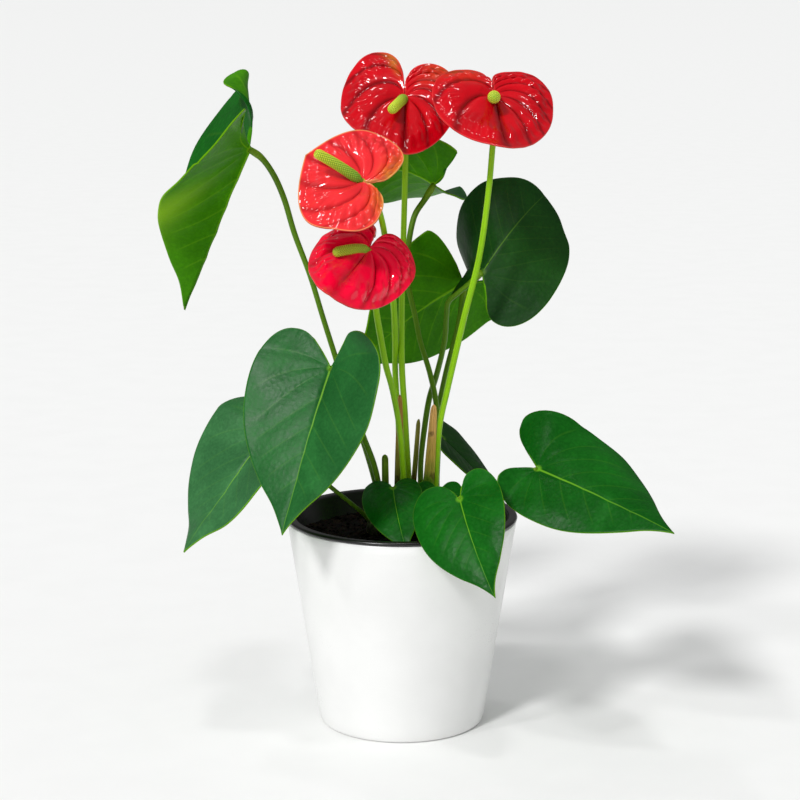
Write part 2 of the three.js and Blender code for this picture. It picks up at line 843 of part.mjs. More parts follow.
// ---------- blooms ----------
const BLOOMS = {
  bloom_a: {
    shape: {
      joint: point(1.8, 3, 378.6),
      azimuth: -90,
      elevation: -49,
      roll: 3.5,
      length: 45,
      halfWidth: 35,
      lobe: 29,
      width: [0.89, 1.11],
      lobeLength: [0.8, 1.2],
      lobeCentre: 0.44,
      droop: -11,
      lobeBend: [-2, -2],
      fold: [6, 1],
      foldAtLobes: -2,
      arch: [19, 19],
      twist: 21,
    },
    spadixTip: point(-6.2, -22, 372.2),
    spadixRadius: 3,
    spadixArch: 0,
    route: [
      [1.8, 3, 378.6], [2, 4, 371], [2, 4.5, 358], [2, 4.5, 340], [1, 4.5, 299], [0, 5, 260], [0, 6, 218],
      [2, 7, 186], [4, 8.5, 147], [4.5, 8.5, 133], [4.5, 8.5, 121],
    ],
  },
  bloom_b: {
    shape: {
      joint: point(52.6, -28, 380),
      azimuth: -82,
      elevation: -42,
      roll: -4,
      length: 49,
      halfWidth: 35.5,
      lobe: 23.5,
      sinusStraight: 0.6,
      lobeCentre: 0.49,
      droop: -20,
      lobeBend: [10, 10],
      fold: [3, 1],
      foldAtTip: -7,
      arch: [14, 14],
      twist: 2,
    },
    spadixTip: point(51.4, -54, 381.5),
    spadixRadius: 3.6,
    spadixArch: 0,
    route: [
      [52.6, -28, 380], [53, -27, 373], [53, -27, 362], [52, -27, 352], [50, -26, 327], [45, -23, 288],
      [36, -18, 249], [27, -12, 207], [23, -9, 187], [21, -5, 163], [20, -3.5, 134], [20, -3.5, 121],
    ],
  },
  bloom_c: {
    shape: {
      joint: point(-22.5, -55, 334.4),
      azimuth: 161,
      elevation: 15,
      roll: -33,
      length: 36,
      halfWidth: 37,
      lobe: 18.4,
      width: [1.09, 0.91],
      lobeLength: [1.09, 0.91],
      widestAt: 0.2,
      sinus: [14, 14],
      sinusStraight: 0.33,
      lobeCentre: 0.59,
      droop: -19,
      lobeBend: [-8, -8],
      fold: [-3, 15],
      foldAtLobes: -3,
      foldAtTip: -4,
      arch: [5, 5],
      tipLength: 0.11,
      belly: 0.62,
      twist: 10,
    },
    spadixTip: point(-48.3, -67, 351.6),
    spadixRadius: 3,
    spadixArch: 0.6,
    route: [
      [-22.5, -55, 334.4], [-19, -49, 331.4], [-15, -42, 322.5], [-11, -32, 307.5], [-8, -19, 284.5],
      [-5, -7, 259.3], [-4, 3, 234], [-4, 10, 215], [-3, 13, 197], [-2, 15, 177], [-2, 15, 133], [-2, 14.5, 121],
    ],
  },
  bloom_d: {
    shape: {
      joint: point(-18.9, -45, 294.8),
      azimuth: -117.5,
      elevation: -31,
      roll: -22,
      length: 58,
      halfWidth: 31.5,
      lobe: 23,
      widestAt: -0.04,
      sinus: [6.5, 6.5],
      sinusStraight: 0.54,
      lobeCentre: 0.48,
      droop: -26,
      lobeBend: [2, 2],
      fold: [-13, 0],
      foldAtLobes: -9,
      foldAtTip: -4,
      arch: [27, 27],
      tipFullness: 0.36,
      tipLength: 0.02,
      belly: 0.5,
      twist: 10.5,
    },
    spadixTip: point(-38.2, -63, 295),
    spadixRadius: 3,
    spadixArch: 1,
    route: [
      [-18.9, -45, 294.8], [-18, -42, 287.2], [-16, -39, 273.3], [-15, -36, 259.5], [-12, -31.5, 239.8],
      [-9, -27, 223], [-6, -24, 211.5], [-2, -17, 189], [0, -11, 170], [1, -6, 150.5], [1.5, -3.5, 135],
      [1.5, -3, 121],
    ],
  },
};

// ---------- bracts at the feet of the stems ----------
const BRACTS = {
  bract_tall: { foot: point(-1.5, 2, 124), tip: point(-1.3, -8, 203), halfWidth: 3.4, facing: -100, hollow: 1 },
  bract_tan: { foot: point(14.5, -5, 124), tip: point(19.2, -12, 198), halfWidth: 3.4, facing: -95, hollow: 1.4 },
  bract_small: { foot: point(5.4, 0.5, 124), tip: point(10.3, -2, 187), halfWidth: 1.6, facing: -80, hollow: 0.4 },
  bract_short: { foot: point(-9.8, -3, 124), tip: point(-10.1, -5, 166), halfWidth: 2.2, facing: -100, hollow: 0.6 },
};

// ---------- assembly ----------
const anthurium = new THREE.Group();
anthurium.name = "potted_anthurium";

function add(name, solid, material) {
  const mesh = new THREE.Mesh(geometryOf(solid), material);
  mesh.name = name;
  anthurium.add(mesh);
}

// Everything that stands in a crown or in the soil, a little fatter and deeper than it is, to cut its hole with.
const rooted = [];

// The space a blade needs about it.
function clearanceOf(blade) {
  return solidOf(blade.geometry(blade.thickness + 2 * SEAT_GAP));
}

// The stem's top end is moved down from the joint until its rim is the gap away from the blade's underside.
function seatedRoute(route, radius, blade) {
  const points = route.map(([x, y, z]) => point(x, y, z));
  const lean = points[1].clone().sub(points[0]).normalize().dot(blade.above);
  const drop = blade.thickness / 2 + SEAT_GAP + radius * Math.sqrt(1 - lean * lean);
  points[0].addScaledVector(blade.above, -drop);
  return points;
}

function plantStem(name, route, radius, steps, blade, material) {
  const points = seatedRoute(route, radius, blade);
  const body = solidOf(stem(points, radius, steps));
  add(name, largestPiece(body.subtract(clearanceOf(blade))), material);
  const foot = points.pop();
  rooted.push(solidOf(stem([...points, foot.clone().setZ(foot.z - SEAT_GAP)], radius + SEAT_GAP, steps)));
}

Object.entries(LEAVES).forEach(([name, shape]) => {
  const blade = new Blade(shape);
  add(`${name}_blade`, solidOf(blade.geometry()), FINISHES.leaf);
  const radius = shape.petioleRadius ?? PETIOLE_RADIUS;
  plantStem(`${name}_petiole`, shape.route, radius, shape.steps, blade, FINISHES.petiole);
});

Object.entries(BLOOMS).forEach(([name, bloom]) => {
  const blade = new Blade({ ...SPATHE_SHAPE, ...bloom.shape });
  add(`${name}_spathe`, solidOf(blade.geometry()), FINISHES.spathe);
  plantStem(`${name}_stalk`, bloom.route, STALK_RADIUS, 12, blade, FINISHES.petiole);
  const spike = solidOf(
    spadix({
      foot: blade.joint.clone().addScaledVector(blade.above, blade.thickness / 2 + SPADIX_NECK_RADIUS),
      tip: bloom.spadixTip,
      radius: bloom.spadixRadius,
      arch: bloom.spadixArch,
    }),
  );
  add(`${name}_spadix`, largestPiece(spike.subtract(clearanceOf(blade))), FINISHES.spadix);
});

Object.entries(BRACTS).forEach(([name, sizes]) => {
  add(name, solidOf(bract(sizes)), FINISHES.bract);
  rooted.push(solidOf(bract(sizes, SEAT_GAP)));
});

const sockets = [];
Object.entries(CROWNS).forEach(([name, sizes]) => {
  add(name, largestPiece(cut(solidOf(crown(sizes)), rooted)), FINISHES.crown);
  sockets.push(solidOf(crown(sizes, SEAT_GAP)));
});

add("soil", cut(soilBody(), [...sockets, ...rooted]), FINISHES.soil);
add("grower_pot", growerPot(), FINISHES.grower);
add("cover_pot", coverPot(), FINISHES.cover);

export default anthurium;
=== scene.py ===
"""The looks of a potted anthurium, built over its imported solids.

Sizes are in millimetres and angles in degrees, as in the part's own source, and turn into metres where a
mesh is made. The studio, and the places that a paint reads, are in metres. +Z is up and the front faces -Y.
"""

import logging
import math
from dataclasses import dataclass, field, replace
from enum import Enum
from typing import Callable, ClassVar

import bmesh
import bpy
import numpy as np
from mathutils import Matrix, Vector, noise

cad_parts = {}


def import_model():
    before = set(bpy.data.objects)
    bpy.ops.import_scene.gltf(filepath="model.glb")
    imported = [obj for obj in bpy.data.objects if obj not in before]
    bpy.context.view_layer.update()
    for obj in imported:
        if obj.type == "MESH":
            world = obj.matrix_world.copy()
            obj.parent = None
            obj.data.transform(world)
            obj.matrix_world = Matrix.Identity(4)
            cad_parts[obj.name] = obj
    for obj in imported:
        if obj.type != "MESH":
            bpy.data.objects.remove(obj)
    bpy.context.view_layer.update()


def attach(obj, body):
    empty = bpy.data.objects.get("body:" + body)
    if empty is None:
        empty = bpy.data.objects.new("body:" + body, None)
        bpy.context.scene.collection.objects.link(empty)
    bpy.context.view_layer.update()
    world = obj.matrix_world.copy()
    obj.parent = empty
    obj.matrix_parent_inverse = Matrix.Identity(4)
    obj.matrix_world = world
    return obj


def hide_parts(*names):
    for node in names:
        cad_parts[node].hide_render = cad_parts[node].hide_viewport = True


MM = 0.001
BODY = "root"
MERGE_WITHIN = 2e-6
NEARLY_ZERO = 1e-9
CURVE_POINTS = 40

Point = tuple[float, float, float]
Pair = tuple[float, float]
Colour = tuple[float, float, float]
Patch = tuple[float, float, float]
Array = np.ndarray
Laid = tuple[Array, dict[str, Array]]
Mesh = bmesh.types.BMesh
Material = bpy.types.Material

log = logging.getLogger("anthurium")


# ---------- painting ----------
@dataclass(frozen=True)
class Tone:
    """A value that varies over a surface: one output of a node in a paint."""

    paint: "Paint"
    socket: bpy.types.NodeSocket

    def _with(self, operation: str, *others: "Tone | float") -> "Tone":
        """Another node's result on this value and others."""
        return self.paint.result_of(operation, self, *others)

    def __add__(self, other: "Tone | float") -> "Tone":
        """The sum."""
        return self._with("ADD", other)

    def __sub__(self, other: "Tone | float") -> "Tone":
        """The difference."""
        return self._with("SUBTRACT", other)

    def __mul__(self, other: "Tone | float") -> "Tone":
        """The product."""
        return self._with("MULTIPLY", other)

    def at_most(self, other: "Tone | float") -> "Tone":
        """The smaller of the two."""
        return self._with("MINIMUM", other)

    def at_least(self, other: "Tone | float") -> "Tone":
        """The larger of the two."""
        return self._with("MAXIMUM", other)

    def from_nearest_whole(self) -> "Tone":
        """How far this value is from the nearest whole number."""
        return (self._with("FRACT") - 0.5)._with("ABSOLUTE") * -1.0 + 0.5

    def ramp(self, low: float, high: float, start: float = 0.0, end: float = 1.0) -> "Tone":
        """A smooth step between two values of this one.

        Args:
            low: the value at which the step starts.
            high: the value at which it ends.
            start: the result below low.
            end: the result above high.

        Returns:
            The stepped value.
        """
        node = self.paint.node("ShaderNodeMapRange", interpolation_type="SMOOTHSTEP")
        self.paint.feed(node.inputs["Value"], self)
        for name, value in (("From Min", low), ("From Max", high), ("To Min", start), ("To Max", end)):
            node.inputs[name].default_value = value
        return Tone(self.paint, node.outputs["Result"])


class Paint:
    """A procedural material under construction."""

    MIX_SHARE = 0
    MIX_FIRST_COLOUR = 6
    MIX_SECOND_COLOUR = 7
    MIX_RESULT_COLOUR = 2

    def __init__(self, name: str) -> None:
        """Starts a material with nothing but its shader."""
        self.material = bpy.data.materials.new(name)
        self.material.use_nodes = True
        self.tree = self.material.node_tree
        self.shader = self.tree.nodes["Principled BSDF"]

    def node(self, kind: str, **settings: object) -> bpy.types.Node:
        """A new node with its settings."""
        made = self.tree.nodes.new(kind)
        for name, value in settings.items():
            setattr(made, name, value)
        return made

    def feed(self, socket: bpy.types.NodeSocket, value: "Tone | Colour | float") -> None:
        """Links a tone to a socket, or sets a plain value on it."""
        if isinstance(value, Tone):
            self.tree.links.new(value.socket, socket)
        elif isinstance(value, tuple):
            socket.default_value = (*value, 1.0)
        else:
            socket.default_value = value

    def result_of(self, operation: str, *values: Tone | float) -> Tone:
        """The result of one arithmetic node."""
        node = self.node("ShaderNodeMath", operation=operation)
        for socket, value in zip(node.inputs, values):
            self.feed(socket, value)
        return Tone(self, node.outputs[0])

    def trait(self, name: str) -> Tone:
        """A value that the mesh itself carries, such as the distance to the nearest edge."""
        return Tone(self, self.node("ShaderNodeAttribute", attribute_name=name).outputs["Fac"])

    def place(self) -> Tone:
        """The place on the object, in metres."""
        return Tone(self, self.node("ShaderNodeTexCoord").outputs["Object"])

    def axis(self, name: str) -> Tone:
        """One coordinate of the place on the object."""
        split = self.node("ShaderNodeSeparateXYZ")
        self.feed(split.inputs[0], self.place())
        return Tone(self, split.outputs[name])

    def stretched(self, x: Tone | float, y: Tone | float, z: Tone | float) -> Tone:
        """A place of three coordinates, to lay a pattern along something."""
        join = self.node("ShaderNodeCombineXYZ")
        for socket, value in zip(join.inputs, (x, y, z)):
            self.feed(socket, value)
        return Tone(self, join.outputs[0])

    def mottle(self, scale: float, detail: float, where: Tone | None = None, warp: float = 0.0) -> Tone:
        """Soft cloudy variation.

        Args:
            scale: how many clouds there are to a metre.
            detail: how finely they break up.
            where: the place to read it at, the object's own where none is given.
            warp: how far the clouds are pulled out of shape.

        Returns:
            A value about 0.5.
        """
        clouds = self.node("ShaderNodeTexNoise")
        self.feed(clouds.inputs["Vector"], where or self.place())
        clouds.inputs["Scale"].default_value = scale
        clouds.inputs["Detail"].default_value = detail
        clouds.inputs["Distortion"].default_value = warp
        return Tone(self, clouds.outputs["Fac"])

    def cells(self, scale: float) -> Tone:
        """The distance to the nearest of many scattered points, of which scale go to a metre."""
        scattered = self.node("ShaderNodeTexVoronoi")
        self.feed(scattered.inputs["Vector"], self.place())
        scattered.inputs["Scale"].default_value = scale
        return Tone(self, scattered.outputs["Distance"])

    def blend(self, share: Tone, first: Tone | Colour, second: Tone | Colour) -> Tone:
        """A colour between two, by a share."""
        mix = self.node("ShaderNodeMix", data_type="RGBA")
        self.feed(mix.inputs[self.MIX_SHARE], share)
        self.feed(mix.inputs[self.MIX_FIRST_COLOUR], first)
        self.feed(mix.inputs[self.MIX_SECOND_COLOUR], second)
        return Tone(self, mix.outputs[self.MIX_RESULT_COLOUR])

    def relief(self, height: Tone, depth: float, under: Tone | None = None) -> Tone:
        """Fine relief for the shader.

        Args:
            height: the height, from 0 to 1.
            depth: what a height of 1 stands for, in millimetres.
            under: relief that this one lies on.

        Returns:
            The bent normal.
        """
        bump = self.node("ShaderNodeBump")
        bump.inputs["Distance"].default_value = depth * MM
        self.feed(bump.inputs["Height"], height)
        if under:
            self.feed(bump.inputs["Normal"], under)
        return Tone(self, bump.outputs["Normal"])

    def finish(self, **inputs: Tone | Colour | float) -> Material:
        """Sets the shader's inputs, named with _ for a space, and gives the material."""
        for name, value in inputs.items():
            self.feed(self.shader.inputs[name.replace("_", " ")], value)
        return self.material


@dataclass(frozen=True)
class LeafSkin:
    """The skin of one side of a leaf blade."""

    name: str
    deep: Colour
    fresh: Colour
    vein: Colour
    margin: Colour
    vein_strength: float
    roughness: float
    gloss: float

    def material(self) -> Material:
        """Paints the side: clouded green, paler veins, midrib and margin, fine grain."""
        paint = Paint(self.name)
        clouds = paint.mottle(30, 4, warp=0.6).ramp(0.34, 0.68)
        grain = paint.mottle(620, 4)
        nets = paint.cells(300).ramp(0.1, 0.7)
        off_vein = paint.trait("vein").from_nearest_whole()
        edge = paint.trait("edge")
        reach = paint.trait("reach")
        veins = off_vein.ramp(0.012, 0.06, 1, 0) * edge.ramp(3.0, 12.0)
        halo = off_vein.ramp(0.04, 0.3, 1, 0)
        midrib = paint.trait("midrib").ramp(0.45, 0.95, 1, 0)
        joint_spot = reach.ramp(1.0, 3.2, 1, 0)
        fading = reach.ramp(8.0, 75.0, 0.9, 0.4)
        colour = paint.blend(clouds * 0.6 + grain.ramp(0.35, 0.65) * 0.25 + 0.1, self.deep, self.fresh)
        colour = paint.blend(halo * self.vein_strength * 0.4, colour, self.fresh)
        colour = paint.blend(nets * 0.25, colour, self.deep)
        colour = paint.blend(veins * self.vein_strength, colour, self.vein)
        colour = paint.blend(paint.trait("aged") * 0.9, colour, self.margin)
        colour = paint.blend(midrib.at_least(joint_spot) * fading, colour, self.vein)
        colour = paint.blend(edge.ramp(0.1, 0.6, 0.35, 0), colour, self.margin)
        fine = paint.relief(grain, 0.07, paint.relief(nets, 0.08))
        return paint.finish(
            Base_Color=colour,
            Roughness=grain * 0.18 + clouds * 0.1 + (self.roughness - 0.15),
            Specular_IOR_Level=self.gloss,
            Normal=fine,
        )


@dataclass(frozen=True)
class SpatheSkin:
    """The lacquered skin of one side of a spathe."""

    name: str
    deep: Colour
    bright: Colour
    margin: Colour
    turning: Colour
    roughness: float
    coat: float

    def material(self) -> Material:
        """Paints the side: bright swellings, veins darkened with painted shade, a paler margin that is a
        painted highlight, and parts that turn with age.
        """
        paint = Paint(self.name)
        clouds = paint.mottle(55, 4, warp=0.4).ramp(0.3, 0.7)
        grain = paint.mottle(700, 3)
        veins = paint.trait("vein").from_nearest_whole().ramp(0.0, 0.2, 1, 0)
        veins = veins * paint.trait("reach").ramp(2.0, 9.0)
        edge = paint.trait("edge")
        aged = paint.trait("aged")
        mottled = (aged * 1.6 * paint.mottle(160, 4).ramp(0.25, 0.75, 0.35, 1.0)).at_most(0.95)
        colour = paint.blend(clouds * 0.25 + grain * 0.1 + 0.65, self.deep, self.bright)
        # The veins are darkened towards the deep red: painted shade in the sunken valleys between the pads.
        colour = paint.blend(veins * 0.7, colour, self.deep)
        colour = paint.blend(mottled, colour, self.turning)
        # The paler margin is a painted highlight along the rim.
        colour = paint.blend(edge.ramp(0.2, 0.9, 0.4, 0), colour, self.margin)
        puckers = paint.relief(paint.mottle(210, 2, warp=0.8), 0.22)
        return paint.finish(
            Base_Color=colour,
            Roughness=grain * 0.1 + (self.roughness - 0.05),
            Coat_Weight=self.coat,
            Coat_Roughness=0.07,
            Coat_IOR=1.4,
            Specular_IOR_Level=0.05,
            Normal=paint.relief(grain, 0.03, puckers),
        )


@dataclass(frozen=True)
class StemSkin:
    """The fibrous skin of a stem."""

    name: str
    deep: Colour
    bright: Colour
    knee: Colour
    roughness: float = 0.36

    def material(self) -> Material:
        """Paints lengthwise fibres, a paler foot and a ring of another tone at the knee."""
        paint = Paint(self.name)
        along = paint.trait("along")
        around = paint.trait("around")
        fibres = paint.mottle(1, 3, paint.stretched(around * 26.0, along * 2.5, 0.0)).ramp(0.3, 0.7)
        clouds = paint.mottle(60, 3)
        specks = paint.cells(900).ramp(0.05, 0.28, 1, 0)
        share = (fibres * 0.6 + clouds * 0.5) * along.ramp(0.0, 0.5, 1, 0.72)
        colour = paint.blend(share, self.deep, self.bright)
        colour = paint.blend(specks * 0.3, colour, self.bright)
        colour = paint.blend(paint.trait("knee") * 0.6, colour, self.knee)
        return paint.finish(
            Base_Color=colour,
            Roughness=fibres * 0.12 + (self.roughness - 0.06),
            Specular_IOR_Level=0.2,
            Normal=paint.relief(fibres, 0.12),
        )


@dataclass(frozen=True)
class SpadixSkin:
    """The skin of the spike of tiny flowers."""

    name: str
    base: Colour
    middle: Colour
    tip: Colour
    gaps_and_shade: Colour = (0.12, 0.3, 0.004)
    flecks: Colour = (0.9, 0.92, 0.3)

    def material(self) -> Material:
        """Paints a change of colour from foot to tip, and a darker net between the flowers that is partly
        painted shade.
        """
        paint = Paint(self.name)
        along = paint.trait("along")
        knob = paint.trait("knob")
        grain = paint.mottle(1300, 3)
        colour = paint.blend(along.ramp(0.05, 0.55), self.base, self.middle)
        colour = paint.blend(along.ramp(0.45, 0.95), colour, self.tip)
        # The darker tone in the hollows between the flowers is partly their own colour and partly painted
        # shade.
        colour = paint.blend(knob.ramp(0.1, 0.7, 0.9, 0), colour, self.gaps_and_shade)
        colour = paint.blend(knob.ramp(0.7, 0.97, 0, 0.7) * grain, colour, self.flecks)
        return paint.finish(
            Base_Color=colour,
            Roughness=grain * 0.2 + 0.38,
            Specular_IOR_Level=0.4,
            Normal=paint.relief(grain, 0.06),
        )


@dataclass(frozen=True)
class BractSkin:
    """The dry, fibrous skin of a bract."""

    name: str
    foot: Colour
    body: Colour
    tip: Colour
    foot_to: float
    stain: Colour = (0.06, 0.03, 0.01)

    def material(self) -> Material:
        """Paints long fibres over a change of colour from foot to tip."""
        paint = Paint(self.name)
        along = paint.trait("along")
        lengthwise = paint.stretched(paint.trait("around") * 34.0, along * 3.0, 0.0)
        fibres = paint.mottle(1, 4, lengthwise).ramp(0.28, 0.72)
        stains = paint.mottle(120, 4)
        blur = along + (stains - 0.5) * 0.22
        colour = paint.blend(blur.ramp(self.foot_to - 0.14, self.foot_to + 0.04), self.foot, self.body)
        colour = paint.blend(blur.ramp(self.foot_to, 0.9), colour, self.tip)
        colour = paint.blend(fibres * 0.4, colour, tuple(0.5 * tone for tone in self.body))
        colour = paint.blend(stains.ramp(0.62, 0.72) * 0.6, colour, self.stain)
        return paint.finish(
            Base_Color=colour,
            Roughness=fibres * 0.2 + 0.5,
            Specular_IOR_Level=0.2,
            Normal=paint.relief(fibres, 0.35, paint.relief(stains, 0.3)),
        )


@dataclass(frozen=True)
class CrownSkin:
    """The scarred skin of a stem base."""

    name: str
    dark: Colour
    green: Colour
    brown_to: float = 0.116
    green_from: float = 0.131

    def material(self) -> Material:
        """Paints a brown foot that turns green, with vertical streaks."""
        paint = Paint(self.name)
        height = paint.axis("Z")
        upright = paint.stretched(paint.axis("X") * 700.0, paint.axis("Y") * 700.0, height * 90.0)
        streaks = paint.mottle(1, 4, upright)
        stains = paint.mottle(170, 4)
        share = height.ramp(self.brown_to, self.green_from) * 0.8 + (stains - 0.5) * 0.9
        colour = paint.blend(share.at_least(0.0).at_most(1.0), self.dark, self.green)
        colour = paint.blend(streaks.ramp(0.45, 0.7) * 0.5, colour, self.dark)
        return paint.finish(
            Base_Color=colour,
            Roughness=stains * 0.25 + 0.55,
            Normal=paint.relief(streaks, 0.5, paint.relief(stains, 0.6)),
        )


@dataclass(frozen=True)
class EarthSkin:
    """Damp potting soil and the crumbs in it."""

    name: str
    dark: Colour
    brown: Colour
    fleck: Colour

    def material(self) -> Material:
        """Paints near-black crumbs with brown fibre and a few pale flecks."""
        paint = Paint(self.name)
        clods = paint.mottle(260, 6)
        crumbs = paint.cells(420)
        flecks = paint.cells(150).ramp(0.05, 0.13, 1, 0)
        colour = paint.blend(clods.ramp(0.42, 0.66), self.dark, self.brown)
        colour = paint.blend(flecks * 0.5, colour, self.fleck)
        return paint.finish(
            Base_Color=colour,
            Roughness=clods * 0.3 + 0.65,
            Specular_IOR_Level=0.08,
            Normal=paint.relief(crumbs, 0.9, paint.relief(clods, 1.6)),
        )


@dataclass(frozen=True)
class PotSkin:
    """Moulded plastic, glazed ware or a plain floor."""

    name: str
    body: Colour
    shade: Colour
    roughness: float
    coat: float
    ripple: float

    def material(self) -> Material:
        """Paints a faint mottling, turning marks and a foot blended towards the second tone."""
        paint = Paint(self.name)
        clouds = paint.mottle(22, 4)
        grain = paint.mottle(1400, 2)
        rings = paint.mottle(1, 2, paint.stretched(0.0, 0.0, paint.axis("Z") * 420.0))
        # Within 20 mm of the bottom the colour is blended towards the second tone.
        foot = paint.axis("Z").ramp(0.0, 0.02, 0.3, 0) * clouds
        colour = paint.blend(clouds.ramp(0.35, 0.75) * 0.5 + grain * 0.12, self.body, self.shade)
        colour = paint.blend(foot, colour, self.shade)
        return paint.finish(
            Base_Color=colour,
            Roughness=grain * 0.1 + clouds * 0.08 + (self.roughness - 0.09),
            Coat_Weight=self.coat,
            Coat_Roughness=0.12,
            Normal=paint.relief(grain, 0.03, paint.relief(rings, self.ripple)),
        )


LEAF_FRESH = LeafSkin(
    name="fresh_leaf_upper_side",
    deep=(0.002, 0.062, 0.003),
    fresh=(0.007, 0.135, 0.007),
    vein=(0.13, 0.36, 0.015),
    margin=(0.12, 0.32, 0.01),
    vein_strength=0.07,
    roughness=0.38,
    gloss=0.1,
)
# A copy of the leaf skin for leaf 2: its greyer, bluer greens are a painted sheen.
LEAF_PAINTED_SHEEN = LeafSkin(
    name="painted_sheen_leaf_upper_side",
    deep=(0.008, 0.078, 0.014),
    fresh=(0.02, 0.155, 0.028),
    vein=(0.16, 0.4, 0.03),
    margin=(0.13, 0.34, 0.015),
    vein_strength=0.07,
    roughness=0.42,
    gloss=0.16,
)
# A paler, bluer copy for leaf 3: besides its higher gloss, its lifted colours are a stronger painted sheen.
LEAF_PAINTED_STRONG_SHEEN = replace(
    LEAF_PAINTED_SHEEN, name="painted_strong_sheen_leaf_upper_side", deep=(0.018, 0.1, 0.028), fresh=(0.045, 0.2, 0.056), gloss=0.28
)
# A darker copy of the leaf skin for leaves 9 and 10: its darkness is painted shade.
LEAF_PAINTED_SHADE = LeafSkin(
    name="painted_shade_leaf_upper_side",
    deep=(0.003, 0.035, 0.003),
    fresh=(0.009, 0.07, 0.004),
    vein=(0.06, 0.16, 0.01),
    margin=(0.08, 0.22, 0.01),
    vein_strength=0.12,
    roughness=0.52,
    gloss=0.14,
)
LEAF_BACK = LeafSkin(
    name="leaf_underside",
    deep=(0.026, 0.15, 0.0008),
    fresh=(0.062, 0.28, 0.0014),
    vein=(0.17, 0.44, 0.008),
    margin=(0.28, 0.56, 0.006),
    vein_strength=0.24,
    roughness=0.44,
    gloss=0.05,
)
# Its deep red is also the painted shade in the vein valleys.
SPATHE_CRIMSON = SpatheSkin(
    name="crimson_spathe_upper_side",
    deep=(0.1, 0.0001, 0.002),
    bright=(0.6, 0.0004, 0.007),
    margin=(0.8, 0.05, 0.05),
    turning=(0.5, 0.16, 0.02),
    roughness=0.3,
    coat=0.9,
)
# Bloom C's skin: its turning colour is its age, and its pinker deep and bright reds are a painted sheen.
SPATHE_AGEING_AND_SHEEN = replace(
    SPATHE_CRIMSON,
    name="ageing_and_sheen_spathe_upper_side",
    deep=(0.4, 0.008, 0.012),
    bright=(0.86, 0.028, 0.035),
    margin=(0.75, 0.6, 0.2),
    turning=(0.6, 0.24, 0.02),
)
# Bloom D's skin: its lighter reds are painted light against the shadow that bloom C casts on it.
SPATHE_PAINTED_LIGHT = replace(
    SPATHE_CRIMSON,
    name="painted_light_spathe_upper_side",
    deep=(0.5, 0.0002, 0.012),
    bright=(1.0, 0.0006, 0.04),
)
SPATHE_BACK = SpatheSkin(
    name="spathe_underside",
    deep=(0.3, 0.002, 0.006),
    bright=(0.55, 0.012, 0.02),
    margin=(0.7, 0.1, 0.08),
    turning=(0.5, 0.42, 0.05),
    roughness=0.34,
    coat=0.3,
)
STALK_SKIN = StemSkin("flower_stalk", (0.14, 0.36, 0.003), (0.42, 0.8, 0.006), (0.45, 0.65, 0.01))
PETIOLE_SKIN = StemSkin("leaf_stalk", (0.045, 0.14, 0.003), (0.15, 0.31, 0.007), (0.2, 0.34, 0.01))
CROWN_SKIN = CrownSkin("stem_base", (0.035, 0.02, 0.01), (0.1, 0.15, 0.02))
EARTH_SKIN = EarthSkin("potting_soil", (0.004, 0.003, 0.0025), (0.018, 0.01, 0.006), (0.1, 0.065, 0.035))
COVER_SKIN = PotSkin("white_ware", (0.83, 0.83, 0.82), (0.75, 0.75, 0.74), 0.3, 0.35, 0.05)
GROWER_SKIN = PotSkin("black_plastic", (0.004, 0.004, 0.004), (0.01, 0.01, 0.009), 0.3, 0.1, 0.12)
FLOOR_SKIN = PotSkin("pale_floor", (0.88, 0.88, 0.87), (0.85, 0.85, 0.84), 0.75, 0.0, 0.0)


# ---------- meshes ----------
class Piece:
    """One finished piece of the plant or its pots."""

    def __init__(self, name: str, mesh: Mesh, materials: list[Material]) -> None:
        """Turns a bmesh in metres into an object that rides on the part."""
        data = bpy.data.meshes.new(name)
        mesh.to_mesh(data)
        mesh.free()
        data.shade_smooth()
        self.object = bpy.data.objects.new(name, data)
        bpy.context.scene.collection.objects.link(self.object)
        for material in materials:
            data.materials.append(material)

    def stand_for(self, node: str, slot: str) -> None:
        """Puts the piece in the place of a solid of the part."""
        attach(self.object, BODY)
        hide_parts(node)
        log.info("%s: %d faces", self.object.name, len(self.object.data.polygons))

    def thicken(self, thickness: float) -> "Piece":
        """Gives a sheet its thickness, with the second material on its lower side."""
        shell = self.object.modifiers.new("thickness", "SOLIDIFY")
        shell.thickness = thickness * MM
        shell.offset = 0.0
        shell.material_offset = 1
        shell.material_offset_rim = 1
        return self


def mapped_grid(columns: int, rows: int, place: Callable[[Array, Array], Laid]) -> Mesh:
    """A grid laid over a surface.

    Args:
        columns: faces along the first share.
        rows: faces along the second share.
        place: gives points in millimetres and named values over two arrays of shares from 0 to 1.

    Returns:
        The laid grid in metres, with the named values on its vertices.
    """
    mesh = bmesh.new()
    bmesh.ops.create_grid(mesh, x_segments=columns, y_segments=rows, size=0.5)
    first = np.array([vert.co.x + 0.5 for vert in mesh.verts])
    second = np.array([vert.co.y + 0.5 for vert in mesh.verts])
    points, traits = place(first, second)
    for vert, point in zip(mesh.verts, points * MM):
        vert.co = point
    for name, values in traits.items():
        layer = mesh.verts.layers.float.new(name)
        for vert, value in zip(mesh.verts, values):
            vert[layer] = value
    return mesh


def close_up(mesh: Mesh, cap: bool = False) -> Mesh:
    """Merges a grid's seam and poles, caps its open ends and turns its faces outwards."""
    bmesh.ops.remove_doubles(mesh, verts=mesh.verts, dist=MERGE_WITHIN)
    if cap:
        bmesh.ops.holes_fill(mesh, edges=[edge for edge in mesh.edges if edge.is_boundary], sides=0)
    bmesh.ops.recalc_face_normals(mesh, faces=mesh.faces)
    return mesh


